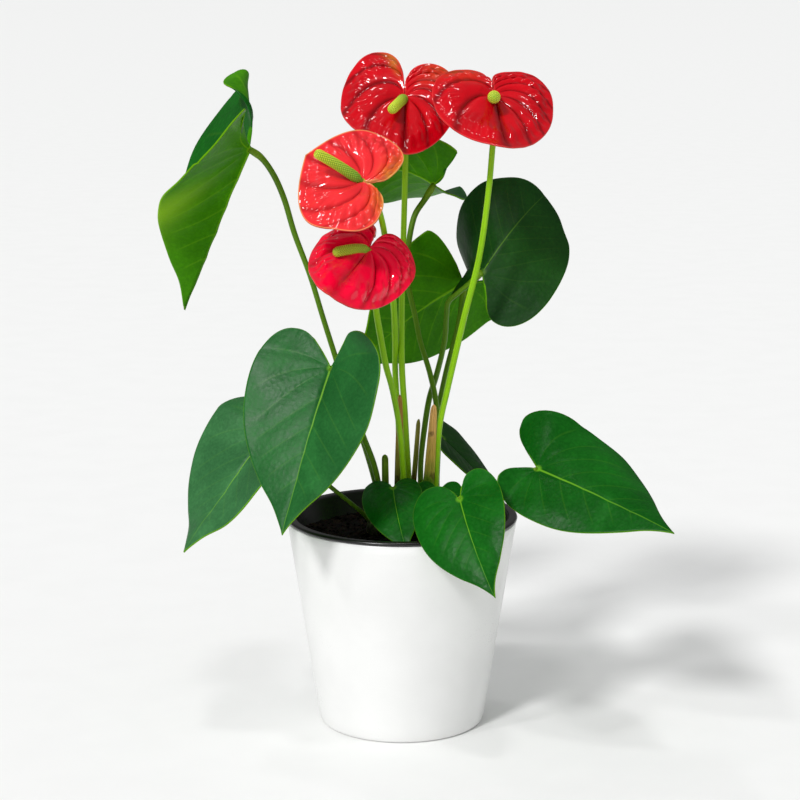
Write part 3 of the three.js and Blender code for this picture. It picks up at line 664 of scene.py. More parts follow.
def spun(profile: list[Pair], sides: int) -> Mesh:
    """A profile of radius and height turned round the upright axis."""
    mesh = bmesh.new()
    verts = [mesh.verts.new((radius * MM, 0, height * MM)) for radius, height in profile]
    edges = [mesh.edges.new(pair) for pair in zip(verts, verts[1:])]
    turn = dict(cent=(0, 0, 0), axis=(0, 0, 1), angle=2 * math.pi, steps=sides, use_merge=True)
    bmesh.ops.spin(mesh, geom=[*verts, *edges], **turn)
    return close_up(mesh)


def smooth_step(value: Array, low: float, high: float) -> Array:
    """A smooth rise from 0 at low to 1 at high."""
    share = np.clip((value - low) / (high - low), 0, 1)
    return share * share * (3 - 2 * share)


def cloud(points: Array, scale: float, seed: float) -> Array:
    """Cloudy variation about 0 at points in millimetres, with clouds of about scale millimetres."""
    shift = Vector((seed, 2.3 * seed, -1.7 * seed))
    return np.array([noise.noise(Vector(point) / scale + shift) for point in points])


# ---------- blades ----------
def arc_end(angle: Array, curvature: Array, length: Array) -> tuple[Array, Array]:
    """The end of an arc that starts at an angle and bends by a curvature over a length."""
    bend = np.where(np.abs(curvature) < NEARLY_ZERO, NEARLY_ZERO, curvature)
    return (
        (np.sin(angle) - np.sin(angle - bend * length)) / bend,
        (np.cos(angle - bend * length) - np.cos(angle)) / bend,
    )


def cubic(start: Array, leave: Array, arrive: Array, end: Array) -> Array:
    """Points of a cubic curve, with the two handles that it leaves and arrives by."""
    t = np.linspace(0, 1, CURVE_POINTS)[:, None]
    return start * (1 - t) ** 3 + 3 * leave * t * (1 - t) ** 2 + 3 * arrive * t * t * (1 - t) + end * t**3


@dataclass
class BladeForm:
    """The form of a heart-shaped blade, in the values that the part's source gives.

    Pairs are for the left and the right half, as seen with the tip pointing away. EASE is the share of a lobe
    over which its own fold sets in; the part's own blades fold without it. The handles say how full the rim's
    curves are, and DRIP_FROM is the share of the length at which the tip starts to draw in.
    """

    EASE: ClassVar[float] = 0.15
    SINUS_HANDLE: ClassVar[float] = 0.45
    LOBE_HANDLE: ClassVar[float] = 0.42
    LOBE_HANDLE_LIMIT: ClassVar[float] = 0.8
    FLANK_HANDLE: ClassVar[float] = 0.56
    DRIP_FROM: ClassVar[float] = 0.72

    joint: Point
    azimuth: float
    elevation: float
    length: float
    half_width: float
    lobe: float
    roll: float = 0.0
    widest_at: float = 0.14
    sinus: Pair = (30, 30)
    sinus_straight: float = 0.45
    lobe_centre: float = 0.54
    lobe_length: Pair = (1, 1)
    width: Pair = (1, 1)
    tip_fullness: float = 0.14
    tip_length: float = 0.18
    belly: float = 0.54
    drip: float = 0.08
    droop: float = 20.0
    lobe_bend: Pair = (0, 0)
    lobe_curl: Pair = (0, 0)
    curl_from: float = 1.0
    fold: Pair = (12, 12)
    fold_at_tip: float = 0.0
    fold_at_lobes: float = 0.0
    arch: Pair = (15, 15)
    twist: float = 0.0

    def __post_init__(self) -> None:
        """Works out the blade's own axes."""
        azimuth, elevation, roll = np.radians([self.azimuth, self.elevation, self.roll])
        self.along = np.array(
            [np.cos(elevation) * np.cos(azimuth), np.cos(elevation) * np.sin(azimuth), np.sin(elevation)]
        )
        upright = np.array([0, 0, 1.0]) - self.along * self.along[2]
        upright /= np.linalg.norm(upright)
        self.above = upright * np.cos(roll) + np.cross(self.along, upright) * np.sin(roll)
        self.across = np.cross(self.along, self.above)

    def half_rim(self, half: int) -> Array:
        """One half's flat margin, from the end of the straight sinus edge, round the lobe, to the tip."""
        width = self.half_width * self.width[half]
        lobe = self.lobe * self.lobe_length[half]
        sinus = math.radians(self.sinus[half])
        widest_y = self.widest_at * self.length
        lobe_x = self.lobe_centre * width
        away = np.array([math.sin(sinus), -math.cos(sinus)])
        start = self.sinus_straight * lobe * away
        lobe_end = np.array([lobe_x, -lobe])
        widest = np.array([width, widest_y])
        reach = np.linalg.norm(lobe_end - start)
        before_lobe = min(self.LOBE_HANDLE * reach, self.LOBE_HANDLE_LIMIT * lobe_x)
        turn = cubic(
            start,
            start + self.SINUS_HANDLE * reach * away,
            np.array([lobe_x - before_lobe, -lobe]),
            lobe_end,
        )
        flank = cubic(
            lobe_end,
            np.array([lobe_x + self.FLANK_HANDLE * (width - lobe_x), -lobe]),
            np.array([width, widest_y - self.FLANK_HANDLE * (widest_y + lobe)]),
            widest,
        )
        point = cubic(
            widest,
            np.array([width, widest_y + self.belly * (self.length - widest_y)]),
            np.array([self.tip_fullness * width, self.length * (1 - self.tip_length)]),
            np.array([0, self.length]),
        )
        rim = np.vstack([turn, flank[1:], point[1:]])
        near_tip = np.clip((rim[:, 1] / self.length - self.DRIP_FROM) / (1 - self.DRIP_FROM), 0, 1)
        rim[:, 0] *= 1 - self.drip * np.sin(np.pi * near_tip) ** 2
        return rim * np.array([1 if half else -1, 1])

    def flat(self, around: Array, outward: Array) -> Array:
        """Flat points at shares of the way round the rim, right half first, and out from the joint."""
        found = np.zeros((len(around), 2))
        for half, inside, share in ((1, around <= 0.5, around * 2), (0, around > 0.5, 2 - around * 2)):
            rim = self.half_rim(half)
            travel = np.concatenate([[0], np.cumsum(np.linalg.norm(np.diff(rim, axis=0), axis=1))])
            at = share[inside] * travel[-1]
            found[inside] = np.stack([np.interp(at, travel, rim[:, axis]) for axis in range(2)], -1)
        return found * outward[:, None]

    def surface(self, flat: Array) -> Array:
        """The bent blade's middle surface over flat points."""
        x, y = flat[:, 0], flat[:, 1]
        right = x > 0
        side = np.where(right, 1, -1)

        def of_half(pair: Pair) -> Array:
            """The value of the half that each point is in, in radians."""
            return np.radians(np.where(right, pair[1], pair[0]))

        forward, back = np.maximum(y, 0), np.maximum(-y, 0)
        droop = math.radians(self.droop) / self.length
        bend = of_half(self.lobe_bend) / self.lobe
        curl = of_half(self.lobe_curl) / self.lobe
        bent = np.minimum(back, self.curl_from * self.lobe)
        ahead_y, ahead_z = arc_end(0, droop, forward)
        bend_y, bend_z = arc_end(0, bend, bent)
        curl_y, curl_z = arc_end(0, curl, back - bent)
        pitch = np.where(forward > 0, -droop * forward, bend * bent)
        toward_tip = np.clip(y / self.length, 0, 1)
        toward_lobes = np.clip(back / self.lobe, 0, 1)
        toward_lobes = (1 + self.EASE) * toward_lobes**2 / (toward_lobes + self.EASE)
        folded_on = self.fold_at_tip * toward_tip + self.fold_at_lobes * toward_lobes
        fold = of_half(self.fold) + np.radians(folded_on)
        arch = of_half(self.arch) / self.half_width
        out_x, out_z = arc_end(fold, arch, np.abs(x))
        slope = fold - arch * np.abs(x)
        twist = math.radians(self.twist) * toward_tip
        aside = side * out_x * np.cos(twist) - out_z * np.sin(twist) - side * curl_z * np.sin(slope)
        rise = side * out_x * np.sin(twist) + out_z * np.cos(twist) + curl_z * np.cos(slope)
        along = ahead_y - bend_y - np.cos(pitch) * curl_y - np.sin(pitch) * rise
        above = ahead_z + bend_z - np.sin(pitch) * curl_y + np.cos(pitch) * rise
        offset = np.outer(aside, self.across) + np.outer(along, self.along) + np.outer(above, self.above)
        return np.array(self.joint) + offset

    def normals(self, flat: Array) -> Array:
        """Unit normals on the upper side."""
        step = 0.05
        dx, dy = np.array([step, 0]), np.array([0, step])
        sideways = self.surface(flat + dx) - self.surface(flat - dx)
        forwards = self.surface(flat + dy) - self.surface(flat - dy)
        normal = np.cross(sideways, forwards)
        return normal / np.linalg.norm(normal, axis=1)[:, None]

    def edge_distance(self, flat: Array) -> Array:
        """How far flat points are from the margin."""
        rim = np.vstack([[[0, 0]], self.half_rim(1), self.half_rim(0)[::-1], [[0, 0]]])
        start, run = rim[:-1], np.diff(rim, axis=0)
        length_squared = np.maximum((run**2).sum(1), NEARLY_ZERO)
        share = np.clip(((flat[:, None] - start) * run).sum(2) / length_squared, 0, 1)
        return np.linalg.norm(flat[:, None] - start - share[..., None] * run, axis=2).min(1)

    def veins(self, flat: Array, lowest: float, basal: float, spacing: float, curve: float) -> Array:
        """A value that grows by 1 from each vein to the next.

        Args:
            flat: flat points.
            lowest: the angle from the midrib at which the lowest side veins leave it.
            basal: how many degrees lie between the veins that leave the joint itself.
            spacing: how far apart the side veins leave the midrib.
            curve: how strongly the veins curve towards the tip.

        Returns:
            The value at each point, whole on the veins.
        """
        x = np.abs(flat[:, 0])
        y = flat[:, 1] - curve * x**2 / self.half_width
        angle = np.degrees(np.arctan2(x, y))
        started = (y - x / math.tan(math.radians(lowest))) / spacing
        return np.where(angle > lowest, 1 + (lowest - angle) / basal, 1 + started)


class Blade:
    """A blade with its relief: the shared work of leaves and spathes."""

    COLUMNS = 150
    RINGS = 44
    RIB_WIDTH = 1.15
    RIB_TAPER = 0.75
    SMALLEST_RIB = 0.5

    def __init__(self, form: BladeForm, seed: float, aged_at: tuple[Patch, ...]) -> None:
        """Keeps the form, the seed of its small chances, and where the blade has turned colour.

        Args:
            form: the blade's form.
            seed: what its small chances start from.
            aged_at: the turned parts, each an angle from the midrib (positive to the right), a spread and a
                strength.
        """
        self.form = form
        self.seed = seed
        self.aged_at = aged_at

    def relief(self, flat: Array, outward: Array, vein: Array, points: Array) -> Array:
        """How far the surface stands above the middle form, in millimetres."""
        raise NotImplementedError

    def vein_values(self, flat: Array, outward: Array) -> Array:
        """The values that count the veins."""
        raise NotImplementedError

    def aged(self, flat: Array) -> Array:
        """How far each flat point has turned from its fresh colour."""
        angle = np.degrees(np.arctan2(flat[:, 0], flat[:, 1]))
        reach = np.linalg.norm(flat, axis=1) / self.form.length
        found = np.zeros(len(flat))
        for centre, spread, strength in self.aged_at:
            patch = strength * np.exp(-(((angle - centre) / spread) ** 2))
            found = np.maximum(found, patch * smooth_step(reach, 0.1, 0.7))
        return found

    def place(self, around: Array, outward: Array) -> Laid:
        """Points and values over shares round the rim and out from the joint."""
        flat = self.form.flat(around, outward)
        vein = self.vein_values(flat, outward)
        middle = self.form.surface(flat)
        relief = self.relief(flat, outward, vein, middle)
        reach = np.linalg.norm(flat, axis=1)
        taper = 1 - self.RIB_TAPER * np.clip(flat[:, 1] / self.form.length, 0, 1)
        rib_width = self.RIB_WIDTH * taper * max(self.SMALLEST_RIB, self.form.length / 100)
        midrib = np.abs(flat[:, 0]) / rib_width + np.where(flat[:, 1] < 0, 4 - 4 * np.exp(flat[:, 1]), 0)
        traits = {
            "vein": vein,
            "midrib": midrib,
            "edge": self.form.edge_distance(flat),
            "reach": reach,
            "aged": self.aged(flat),
        }
        return middle + self.form.normals(flat) * relief[:, None], traits

    def sheet(self) -> Mesh:
        """The open sheet, upper side out."""
        mesh = mapped_grid(self.COLUMNS, self.RINGS, self.place)
        bmesh.ops.remove_doubles(mesh, verts=mesh.verts, dist=MERGE_WITHIN)
        bmesh.ops.dissolve_degenerate(mesh, edges=mesh.edges, dist=1e-6)
        bmesh.ops.reverse_faces(mesh, faces=mesh.faces)
        return mesh


class LeafBlade(Blade):
    """A leathery leaf blade with a sunken midrib and softly quilted veins.

    All but the thickness are for a blade 100 mm long.
    """

    THICKNESS = 0.9
    QUILT = 0.42
    RIB_DEPTH = 0.8
    RIB_HALF_WIDTH = 1.6
    SWELL = 1.4
    SWELL_SIZE = 26
    WAVE = 0.5

    def vein_values(self, flat: Array, outward: Array) -> Array:
        """Four side veins from the joint on each half, and more off the midrib."""
        even = self.form.veins(flat, lowest=48, basal=31, spacing=0.17 * self.form.length, curve=0.3)
        x, y = np.abs(flat[:, 0]), flat[:, 1]
        drift = np.sin(0.09 * y + self.seed) + 0.6 * np.sin(0.13 * x - 0.05 * y)
        return even + 0.1 * drift * outward

    def relief(self, flat: Array, outward: Array, vein: Array, points: Array) -> Array:
        """Quilting between the veins, a sunken midrib, soft swells and a waved margin."""
        size = self.form.length / 100
        between = 4 * (vein % 1) * (1 - vein % 1)
        inside = smooth_step(outward, 0.04, 0.3) * (1 - smooth_step(outward, 0.7, 0.98))
        quilt = self.QUILT * size * between * inside
        rib = np.exp(-((flat[:, 0] / (self.RIB_HALF_WIDTH * size)) ** 2)) * (flat[:, 1] > -1)
        rib *= -self.RIB_DEPTH * size * (1 - 0.7 * np.clip(flat[:, 1] / self.form.length, 0, 1))
        swell = self.SWELL * size * cloud(points, self.SWELL_SIZE * size, self.seed) * outward
        angle = np.arctan2(flat[:, 0], flat[:, 1])
        ripple = np.sin(7 * angle + self.seed) * np.sin(3 * angle)
        wave = self.WAVE * size * ripple * smooth_step(outward, 0.7, 1.0)
        return quilt + rib + swell + wave


class SpatheBlade(Blade):
    """A lacquered spathe, puffed up between its sunken veins."""

    COLUMNS = 240
    RINGS = 70
    THICKNESS = 0.8
    VEIN_BEND = 1.2
    PUCKERS = 34
    WIDEST_PAD = 15
    PAD_ROUNDNESS = 0.55
    RIBS = 0.018
    CRUMPLE = 0.4
    SWELL = 1.3

    def __init__(
        self, form: BladeForm, seed: float, aged_at: tuple[Patch, ...], pads: Pair, puff: float, pucker: float
    ) -> None:
        """Also keeps the pads of each half, their height for their width, and the puckers' height."""
        super().__init__(form, seed, aged_at)
        self.pads = pads
        self.puff = puff
        self.pucker = pucker

    def pads_at(self, flat: Array) -> Array:
        """How many pads the half has that each flat point is in."""
        return np.where(flat[:, 0] > 0, self.pads[1], self.pads[0])

    def vein_values(self, flat: Array, outward: Array) -> Array:
        """Main veins that leave the joint and bend round towards the tip along the margin."""
        share = np.arctan2(np.abs(flat[:, 0]), flat[:, 1]) / np.pi
        return self.pads_at(flat) * share * (1 + self.VEIN_BEND * outward**1.7)

    def relief(self, flat: Array, outward: Array, vein: Array, points: Array) -> Array:
        """Pads between the main veins up to a ring, short puckers beyond it, and fine unevenness."""
        reach = np.linalg.norm(flat, axis=1)
        spacing = np.pi * reach / self.pads_at(flat)
        between = np.abs(np.sin(np.pi * vein)) ** self.PAD_ROUNDNESS
        ribs = np.sin(3 * np.pi * vein + 0.8) * (1 - smooth_step(outward, 0.3, 0.65))
        inner = 1 - smooth_step(outward, 0.72, 0.9)
        turn = np.arctan2(flat[:, 0], flat[:, 1])
        puckers = np.sin(self.PUCKERS * turn + 2.5 * outward + self.seed)
        outer = smooth_step(outward, 0.5, 0.72) * (1 - smooth_step(outward, 0.86, 0.98))
        crumple = cloud(points, 7, self.seed) * smooth_step(outward, 0.15, 0.5)
        swell = cloud(points, 20, self.seed + 5) * outward
        pads = np.minimum(spacing, self.WIDEST_PAD) * inner * (self.puff * between + self.RIBS * ribs)
        return pads + self.pucker * puckers * outer + self.CRUMPLE * crumple + self.SWELL * swell


# ---------- stems ----------
def route_points(route: list[Point], steps: int) -> Array:
    """Evenly spaced points of a smooth curve through a route.

    Args:
        route: the points that the curve passes, in millimetres.
        steps: how many stretches to divide it in.

    Returns:
        The points from first to last.
    """
    knots = np.array(route, float)
    knots = np.vstack([2 * knots[0] - knots[1], knots, 2 * knots[-1] - knots[-2]])
    found = []
    for a, b, c, d in zip(knots, knots[1:], knots[2:], knots[3:]):
        t = np.cumsum([0, *(np.linalg.norm(q - p) ** 0.5 for p, q in ((a, b), (b, c), (c, d)))])
        u = np.linspace(t[1], t[2], 24)[:, None]
        ab = a * (t[1] - u) / (t[1] - t[0]) + b * (u - t[0]) / (t[1] - t[0])
        bc = b * (t[2] - u) / (t[2] - t[1]) + c * (u - t[1]) / (t[2] - t[1])
        cd = c * (t[3] - u) / (t[3] - t[2]) + d * (u - t[2]) / (t[3] - t[2])
        abc = ab * (t[2] - u) / (t[2] - t[0]) + bc * (u - t[0]) / (t[2] - t[0])
        bcd = bc * (t[3] - u) / (t[3] - t[1]) + cd * (u - t[1]) / (t[3] - t[1])
        found.append(abc * (t[2] - u) / (t[2] - t[1]) + bcd * (u - t[1]) / (t[2] - t[1]))
    line = np.vstack([found[0], *(part[1:] for part in found[1:])])
    travel = np.concatenate([[0], np.cumsum(np.linalg.norm(np.diff(line, axis=0), axis=1))])
    at = np.linspace(0, travel[-1], steps + 1)
    return np.stack([np.interp(at, travel, line[:, axis]) for axis in range(3)], -1)


@dataclass(frozen=True)
class Stem:
    """A round stem from a blade down to its foot."""

    STEP: ClassVar[float] = 1.8
    FEWEST_STEPS: ClassVar[int] = 24

    route: list[Point]
    radius: float
    seed: float
    knee_length: float = 9.0
    knee_swell: float = 0.22
    foot_swell: float = 0.3
    sides: int = 20

    def mesh(self) -> Mesh:
        """The closed tube with a knee below the blade, a stouter foot and faint lengthwise grooves."""
        length = sum(math.dist(a, b) for a, b in zip(self.route, self.route[1:]))
        steps = max(self.FEWEST_STEPS, int(length / self.STEP))
        line = route_points(self.route, steps)
        tangents = np.gradient(line, axis=0)
        tangents /= np.linalg.norm(tangents, axis=1)[:, None]
        side = np.cross(tangents[0], [0.3, 1, 0.1])
        frames = []
        for tangent in tangents:
            side = side - tangent * side.dot(tangent)
            side /= np.linalg.norm(side)
            frames.append((side, np.cross(tangent, side)))

        def place(around: Array, down: Array) -> Laid:
            """Points and values over shares round the stem and down it."""
            row = np.rint(down * steps).astype(int)
            travel = down * length
            angle = 2 * np.pi * around
            knee = np.exp(-(((travel - 0.55 * self.knee_length) / (0.5 * self.knee_length)) ** 2))
            swell = 1 + self.knee_swell * knee + self.foot_swell * smooth_step(down, 0.75, 1.0)
            grooves = 1 + 0.025 * np.sin(5 * angle + 3 * down + self.seed) + 0.012 * np.sin(11 * angle)
            sway = 1 + 0.05 * np.sin(9 * down + self.seed)
            reach = self.radius * swell * grooves * sway
            first = np.array([frames[index][0] for index in row])
            second = np.array([frames[index][1] for index in row])
            ring = first * np.cos(angle)[:, None] + second * np.sin(angle)[:, None]
            traits = {"along": 1 - down, "around": around, "knee": knee}
            return line[row] + ring * reach[:, None], traits

        return close_up(mapped_grid(self.sides, steps, place), cap=True)


@dataclass(frozen=True)
class Spike:
    """The spadix: a round-ended spike of tiny flowers."""

    foot: Array
    tip: Point
    radius: float
    arch: float
    neck: float = 0.17
    neck_width: float = 0.55
    flower_rows: int = 12
    flower_height: float = 0.6
    flower_pitch: float = 1.6

    def mesh(self) -> Mesh:
        """The closed spike with its flowers set in two crossing spirals."""
        axis = Vector(self.tip) - Vector(self.foot)
        length = axis.length
        turn = np.array(axis.to_track_quat("Z", "Y").to_matrix())

        def place(around: Array, up: Array) -> Laid:
            """Points and values over shares round the spike and up it."""
            share = 1 - (1 - up) ** 1.25
            cap = self.radius / length
            width = np.sqrt(1 - np.clip((share - 1 + cap) / cap, 0, 1) ** 2) * (1 - 0.12 * share)
            necked = self.neck_width + (width - self.neck_width) * share / self.neck
            width = np.where(share < self.neck, necked, width)
            width = np.where(share <= 0, 0, width)
            angle = 2 * np.pi * around
            pitch = np.pi * share * length / self.flower_pitch
            turned = self.flower_rows / 2 * angle
            knob = np.abs(np.cos(turned + pitch) * np.cos(turned - pitch)) * smooth_step(share, 0.02, 0.1)
            flowers = self.flower_height * knob * (width > 0.1)
            reach = width * (self.radius - 0.5 * self.flower_height) + flowers
            sag = self.arch * np.sin(np.pi * share)
            local = np.stack([reach * np.cos(angle), reach * np.sin(angle) + sag, share * length], -1)
            return np.array(self.foot) + local @ turn.T, {"along": share, "knob": knob}

        return close_up(mapped_grid(8 * self.flower_rows, int(5 * length), place))


# ---------- leaves and blooms ----------
@dataclass(frozen=True)
class Leaf:
    """A leaf: its blade and its stalk."""

    name: str
    form: BladeForm
    stalk: list[Point]
    radius: float = 1.7
    seed: float = 0.0
    aged_at: tuple[Patch, ...] = ()
    top: LeafSkin = LEAF_FRESH

    def build(self, top: Material, back: Material, skin: Material) -> None:
        """Makes the blade and the stalk, and puts them in the place of their solids."""
        sheet = LeafBlade(self.form, self.seed, self.aged_at).sheet()
        blade = Piece(f"{self.name}_lamina", sheet, [top, back])
        blade.thicken(LeafBlade.THICKNESS).stand_for(f"{self.name}_blade", "leaf")
        stem = Stem(self.stalk, self.radius, self.seed)
        Piece(f"{self.name}_leafstalk", stem.mesh(), [skin]).stand_for(f"{self.name}_petiole", "petiole")


@dataclass(frozen=True)
class Bloom:
    """A bloom: its spathe, its spadix and its stalk."""

    STALK_RADIUS: ClassVar[float] = 1.8
    SPIKE_SINK: ClassVar[float] = 0.3

    name: str
    form: BladeForm
    stalk: list[Point]
    spike_tip: Point
    spike_radius: float
    spike_arch: float
    spike_skin: SpadixSkin
    pads: Pair
    seed: float
    aged_at: tuple[Patch, ...] = ()
    puff: float = 0.2
    pucker: float = 0.38
    top: SpatheSkin = SPATHE_CRIMSON

    def build(self, top: Material, back: Material, skin: Material) -> None:
        """Makes the spathe, the spadix and the stalk, and puts them in the place of their solids."""
        sheet = SpatheBlade(self.form, self.seed, self.aged_at, self.pads, self.puff, self.pucker).sheet()
        spathe = Piece(f"{self.name}_hood", sheet, [top, back])
        spathe.thicken(SpatheBlade.THICKNESS).stand_for(f"{self.name}_spathe", "spathe")
        stem = Stem(self.stalk, self.STALK_RADIUS, self.seed, knee_length=5, knee_swell=0.12)
        Piece(f"{self.name}_flowerstalk", stem.mesh(), [skin]).stand_for(f"{self.name}_stalk", "petiole")
        foot = np.array(self.form.joint) - self.SPIKE_SINK * self.form.above
        spike = Spike(foot, self.spike_tip, self.spike_radius, self.spike_arch)
        material = self.spike_skin.material()
        Piece(f"{self.name}_spike", spike.mesh(), [material]).stand_for(f"{self.name}_spadix", "spadix")


def spathe_form(**values: object) -> BladeForm:
    """A blade form with the values that spathes share."""
    shared = dict(
        widest_at=-0.03, sinus=(4, 4), lobe_centre=0.47, tip_fullness=0.33, tip_length=0.04, drip=0.0
    )
    return BladeForm(**{**shared, **values})


# ---------- bracts, crowns, soil and pots ----------
@dataclass(frozen=True)
class Bract:
    """A dry pointed bract, hollow towards the stem that it hugs."""

    THICKNESS: ClassVar[float] = 0.7
    COLUMNS: ClassVar[int] = 18
    ROWS: ClassVar[int] = 60

    name: str
    foot: Point
    tip: Point
    half_width: float
    facing: float
    hollow: float
    skin: BractSkin
    blunt: float

    def build(self) -> None:
        """Makes the bract and puts it in the place of its solid."""
        foot = np.array(self.foot)
        rise = np.array(self.tip) - foot
        outward = np.array([math.cos(math.radians(self.facing)), math.sin(math.radians(self.facing)), 0])
        sideways = np.cross(rise, outward)
        sideways /= np.linalg.norm(sideways)
        seed = foot[0]

        def place(side: Array, share: Array) -> Laid:
            """Points and values over shares across the bract and up it."""
            across = 2 * side - 1
            narrowing = 1 - 0.88 * share**1.8
            rounded = np.sqrt(np.clip(1 - ((share - 0.93) / 0.07).clip(0, 1) ** 2, 0, 1))
            width = self.half_width * (narrowing + self.blunt * share**2) * np.maximum(rounded, 0.05)
            depth = -self.hollow * (1 - share) * across**2 - 0.5 * np.abs(across) * share * width
            ripple = 0.16 * np.sin(9 * across + seed) + 0.35 * np.sin(5 * share + seed) * share
            point = foot + np.outer(share, rise) + np.outer(across * width, sideways)
            return point + np.outer(depth + ripple, outward), {"along": share, "around": side}

        mesh = mapped_grid(self.COLUMNS, self.ROWS, place)
        bmesh.ops.recalc_face_normals(mesh, faces=mesh.faces)
        material = self.skin.material()
        piece = Piece(f"{self.name}_sheath", mesh, [material, material])
        piece.thicken(self.THICKNESS).stand_for(self.name, "bract")


@dataclass(frozen=True)
class Crown:
    """The short swollen stem base of one shoot."""

    COLUMNS: ClassVar[int] = 56
    ROWS: ClassVar[int] = 48

    name: str
    x: float
    y: float
    radius_x: float
    radius_y: float
    soil_level: float = 115.0
    foot: float = 100.0
    top: float = 131.0

    def build(self, material: Material) -> None:
        """Makes the lumpy crown and puts it in the place of its solid."""
        level = self.soil_level
        heights = [self.foot, self.foot, level - 4, level + 3, self.top - 6, self.top - 1, self.top, self.top]
        widths = [0, 0.55, 0.95, 1, 0.9, 0.66, 0.4, 0]

        def place(around: Array, up: Array) -> Laid:
            """Points and values over shares round the crown and up it."""
            at = up * (len(heights) - 1)
            width = np.interp(at, range(len(widths)), widths)
            height = np.interp(at, range(len(heights)), heights)
            angle = 2 * np.pi * around
            x = self.x + self.radius_x * width * np.cos(angle)
            y = self.y + self.radius_y * width * np.sin(angle)
            ring = np.stack([x, y, height], -1)
            lumps = 1 + 0.16 * cloud(ring, 4.5, self.x) + 0.05 * np.sin(13 * angle + 0.2 * height)
            lumps = np.where(width > 0, lumps, 1)
            ring[:, 0] = self.x + (ring[:, 0] - self.x) * lumps
            ring[:, 1] = self.y + (ring[:, 1] - self.y) * lumps
            ring[:, 2] += np.where(height > level, 1.2 * cloud(ring, 3.5, self.y) * (width > 0), 0)
            return ring, {}

        mesh = close_up(mapped_grid(self.COLUMNS, self.ROWS, place))
        side = self.name.removeprefix("crown_")
        Piece(f"stem_base_{side}", mesh, [material]).stand_for(self.name, "crown")


@dataclass
class Soil:
    """The soil in the grower's pot, with a crumbly top."""

    radius: float = 62.2
    foot_radius: float = 45.4
    foot: float = 12.1
    level: float = 115.0
    crumbs: int = 420
    rings: int = 70
    sides: int = 150
    rng: np.random.Generator = field(default_factory=lambda: np.random.default_rng(11))

    def height(self, points: Array) -> Array:
        """The soil's height at points, in millimetres."""
        x, y = points[:, 0], points[:, 1]
        reach = np.hypot(x, y)
        lumps = np.sin(x * 0.23 + 1) * np.cos(y * 0.19) + 0.6 * np.sin(x * 0.11 - y * 0.31)
        inside = 1 - smooth_step(reach, self.radius - 8, self.radius)
        broad = 1.2 * (lumps + 1 - reach / self.radius) * inside
        flat = np.stack([x, y, np.zeros(len(x))], -1)
        return self.level + broad + 1.3 * cloud(flat, 5, 1) + 0.8 * cloud(flat, 2.1, 2)

    def build(self, material: Material) -> None:
        """Makes the body of soil with its crumbs, and puts it in the place of its solid."""
        top = [(self.radius * (1 - index / self.rings), self.level) for index in range(self.rings)]
        mesh = spun([(0, self.foot), (self.foot_radius, self.foot), *top, (0, self.level)], self.sides)
        surface = [vert for vert in mesh.verts if vert.co.z > (self.level - 1) * MM]
        heights = self.height(np.array([vert.co for vert in surface]) / MM)
        for vert, height in zip(surface, heights):
            vert.co.z = height * MM
        reach = (self.radius - 3) * np.sqrt(self.rng.random(self.crumbs))
        angle = 2 * np.pi * self.rng.random(self.crumbs)
        spots = np.stack([reach * np.cos(angle), reach * np.sin(angle), 0 * reach], -1)
        spots[:, 2] = self.height(spots) + 0.2
        for spot in spots:
            self.add_crumb(mesh, spot)
        Piece("potting_mix", mesh, [material]).stand_for("soil", "soil")

    def add_crumb(self, mesh: Mesh, spot: Array) -> None:
        """Adds one angular crumb of bark or peat."""
        size = (0.7 + 1.5 * self.rng.random() ** 2) * MM
        made = bmesh.ops.create_icosphere(mesh, subdivisions=1, radius=size)
        squash = Vector(0.55 + 0.7 * self.rng.random(3))
        bmesh.ops.scale(mesh, vec=squash, verts=made["verts"])
        for vert in made["verts"]:
            vert.co *= 1 + 0.25 * (self.rng.random() - 0.5)
        bmesh.ops.translate(mesh, vec=Vector(spot) * MM, verts=made["verts"])


class Ware(Enum):
    """The two pots, by the node that each stands for."""

    COVER = "cover_pot"
    GROWER = "grower_pot"


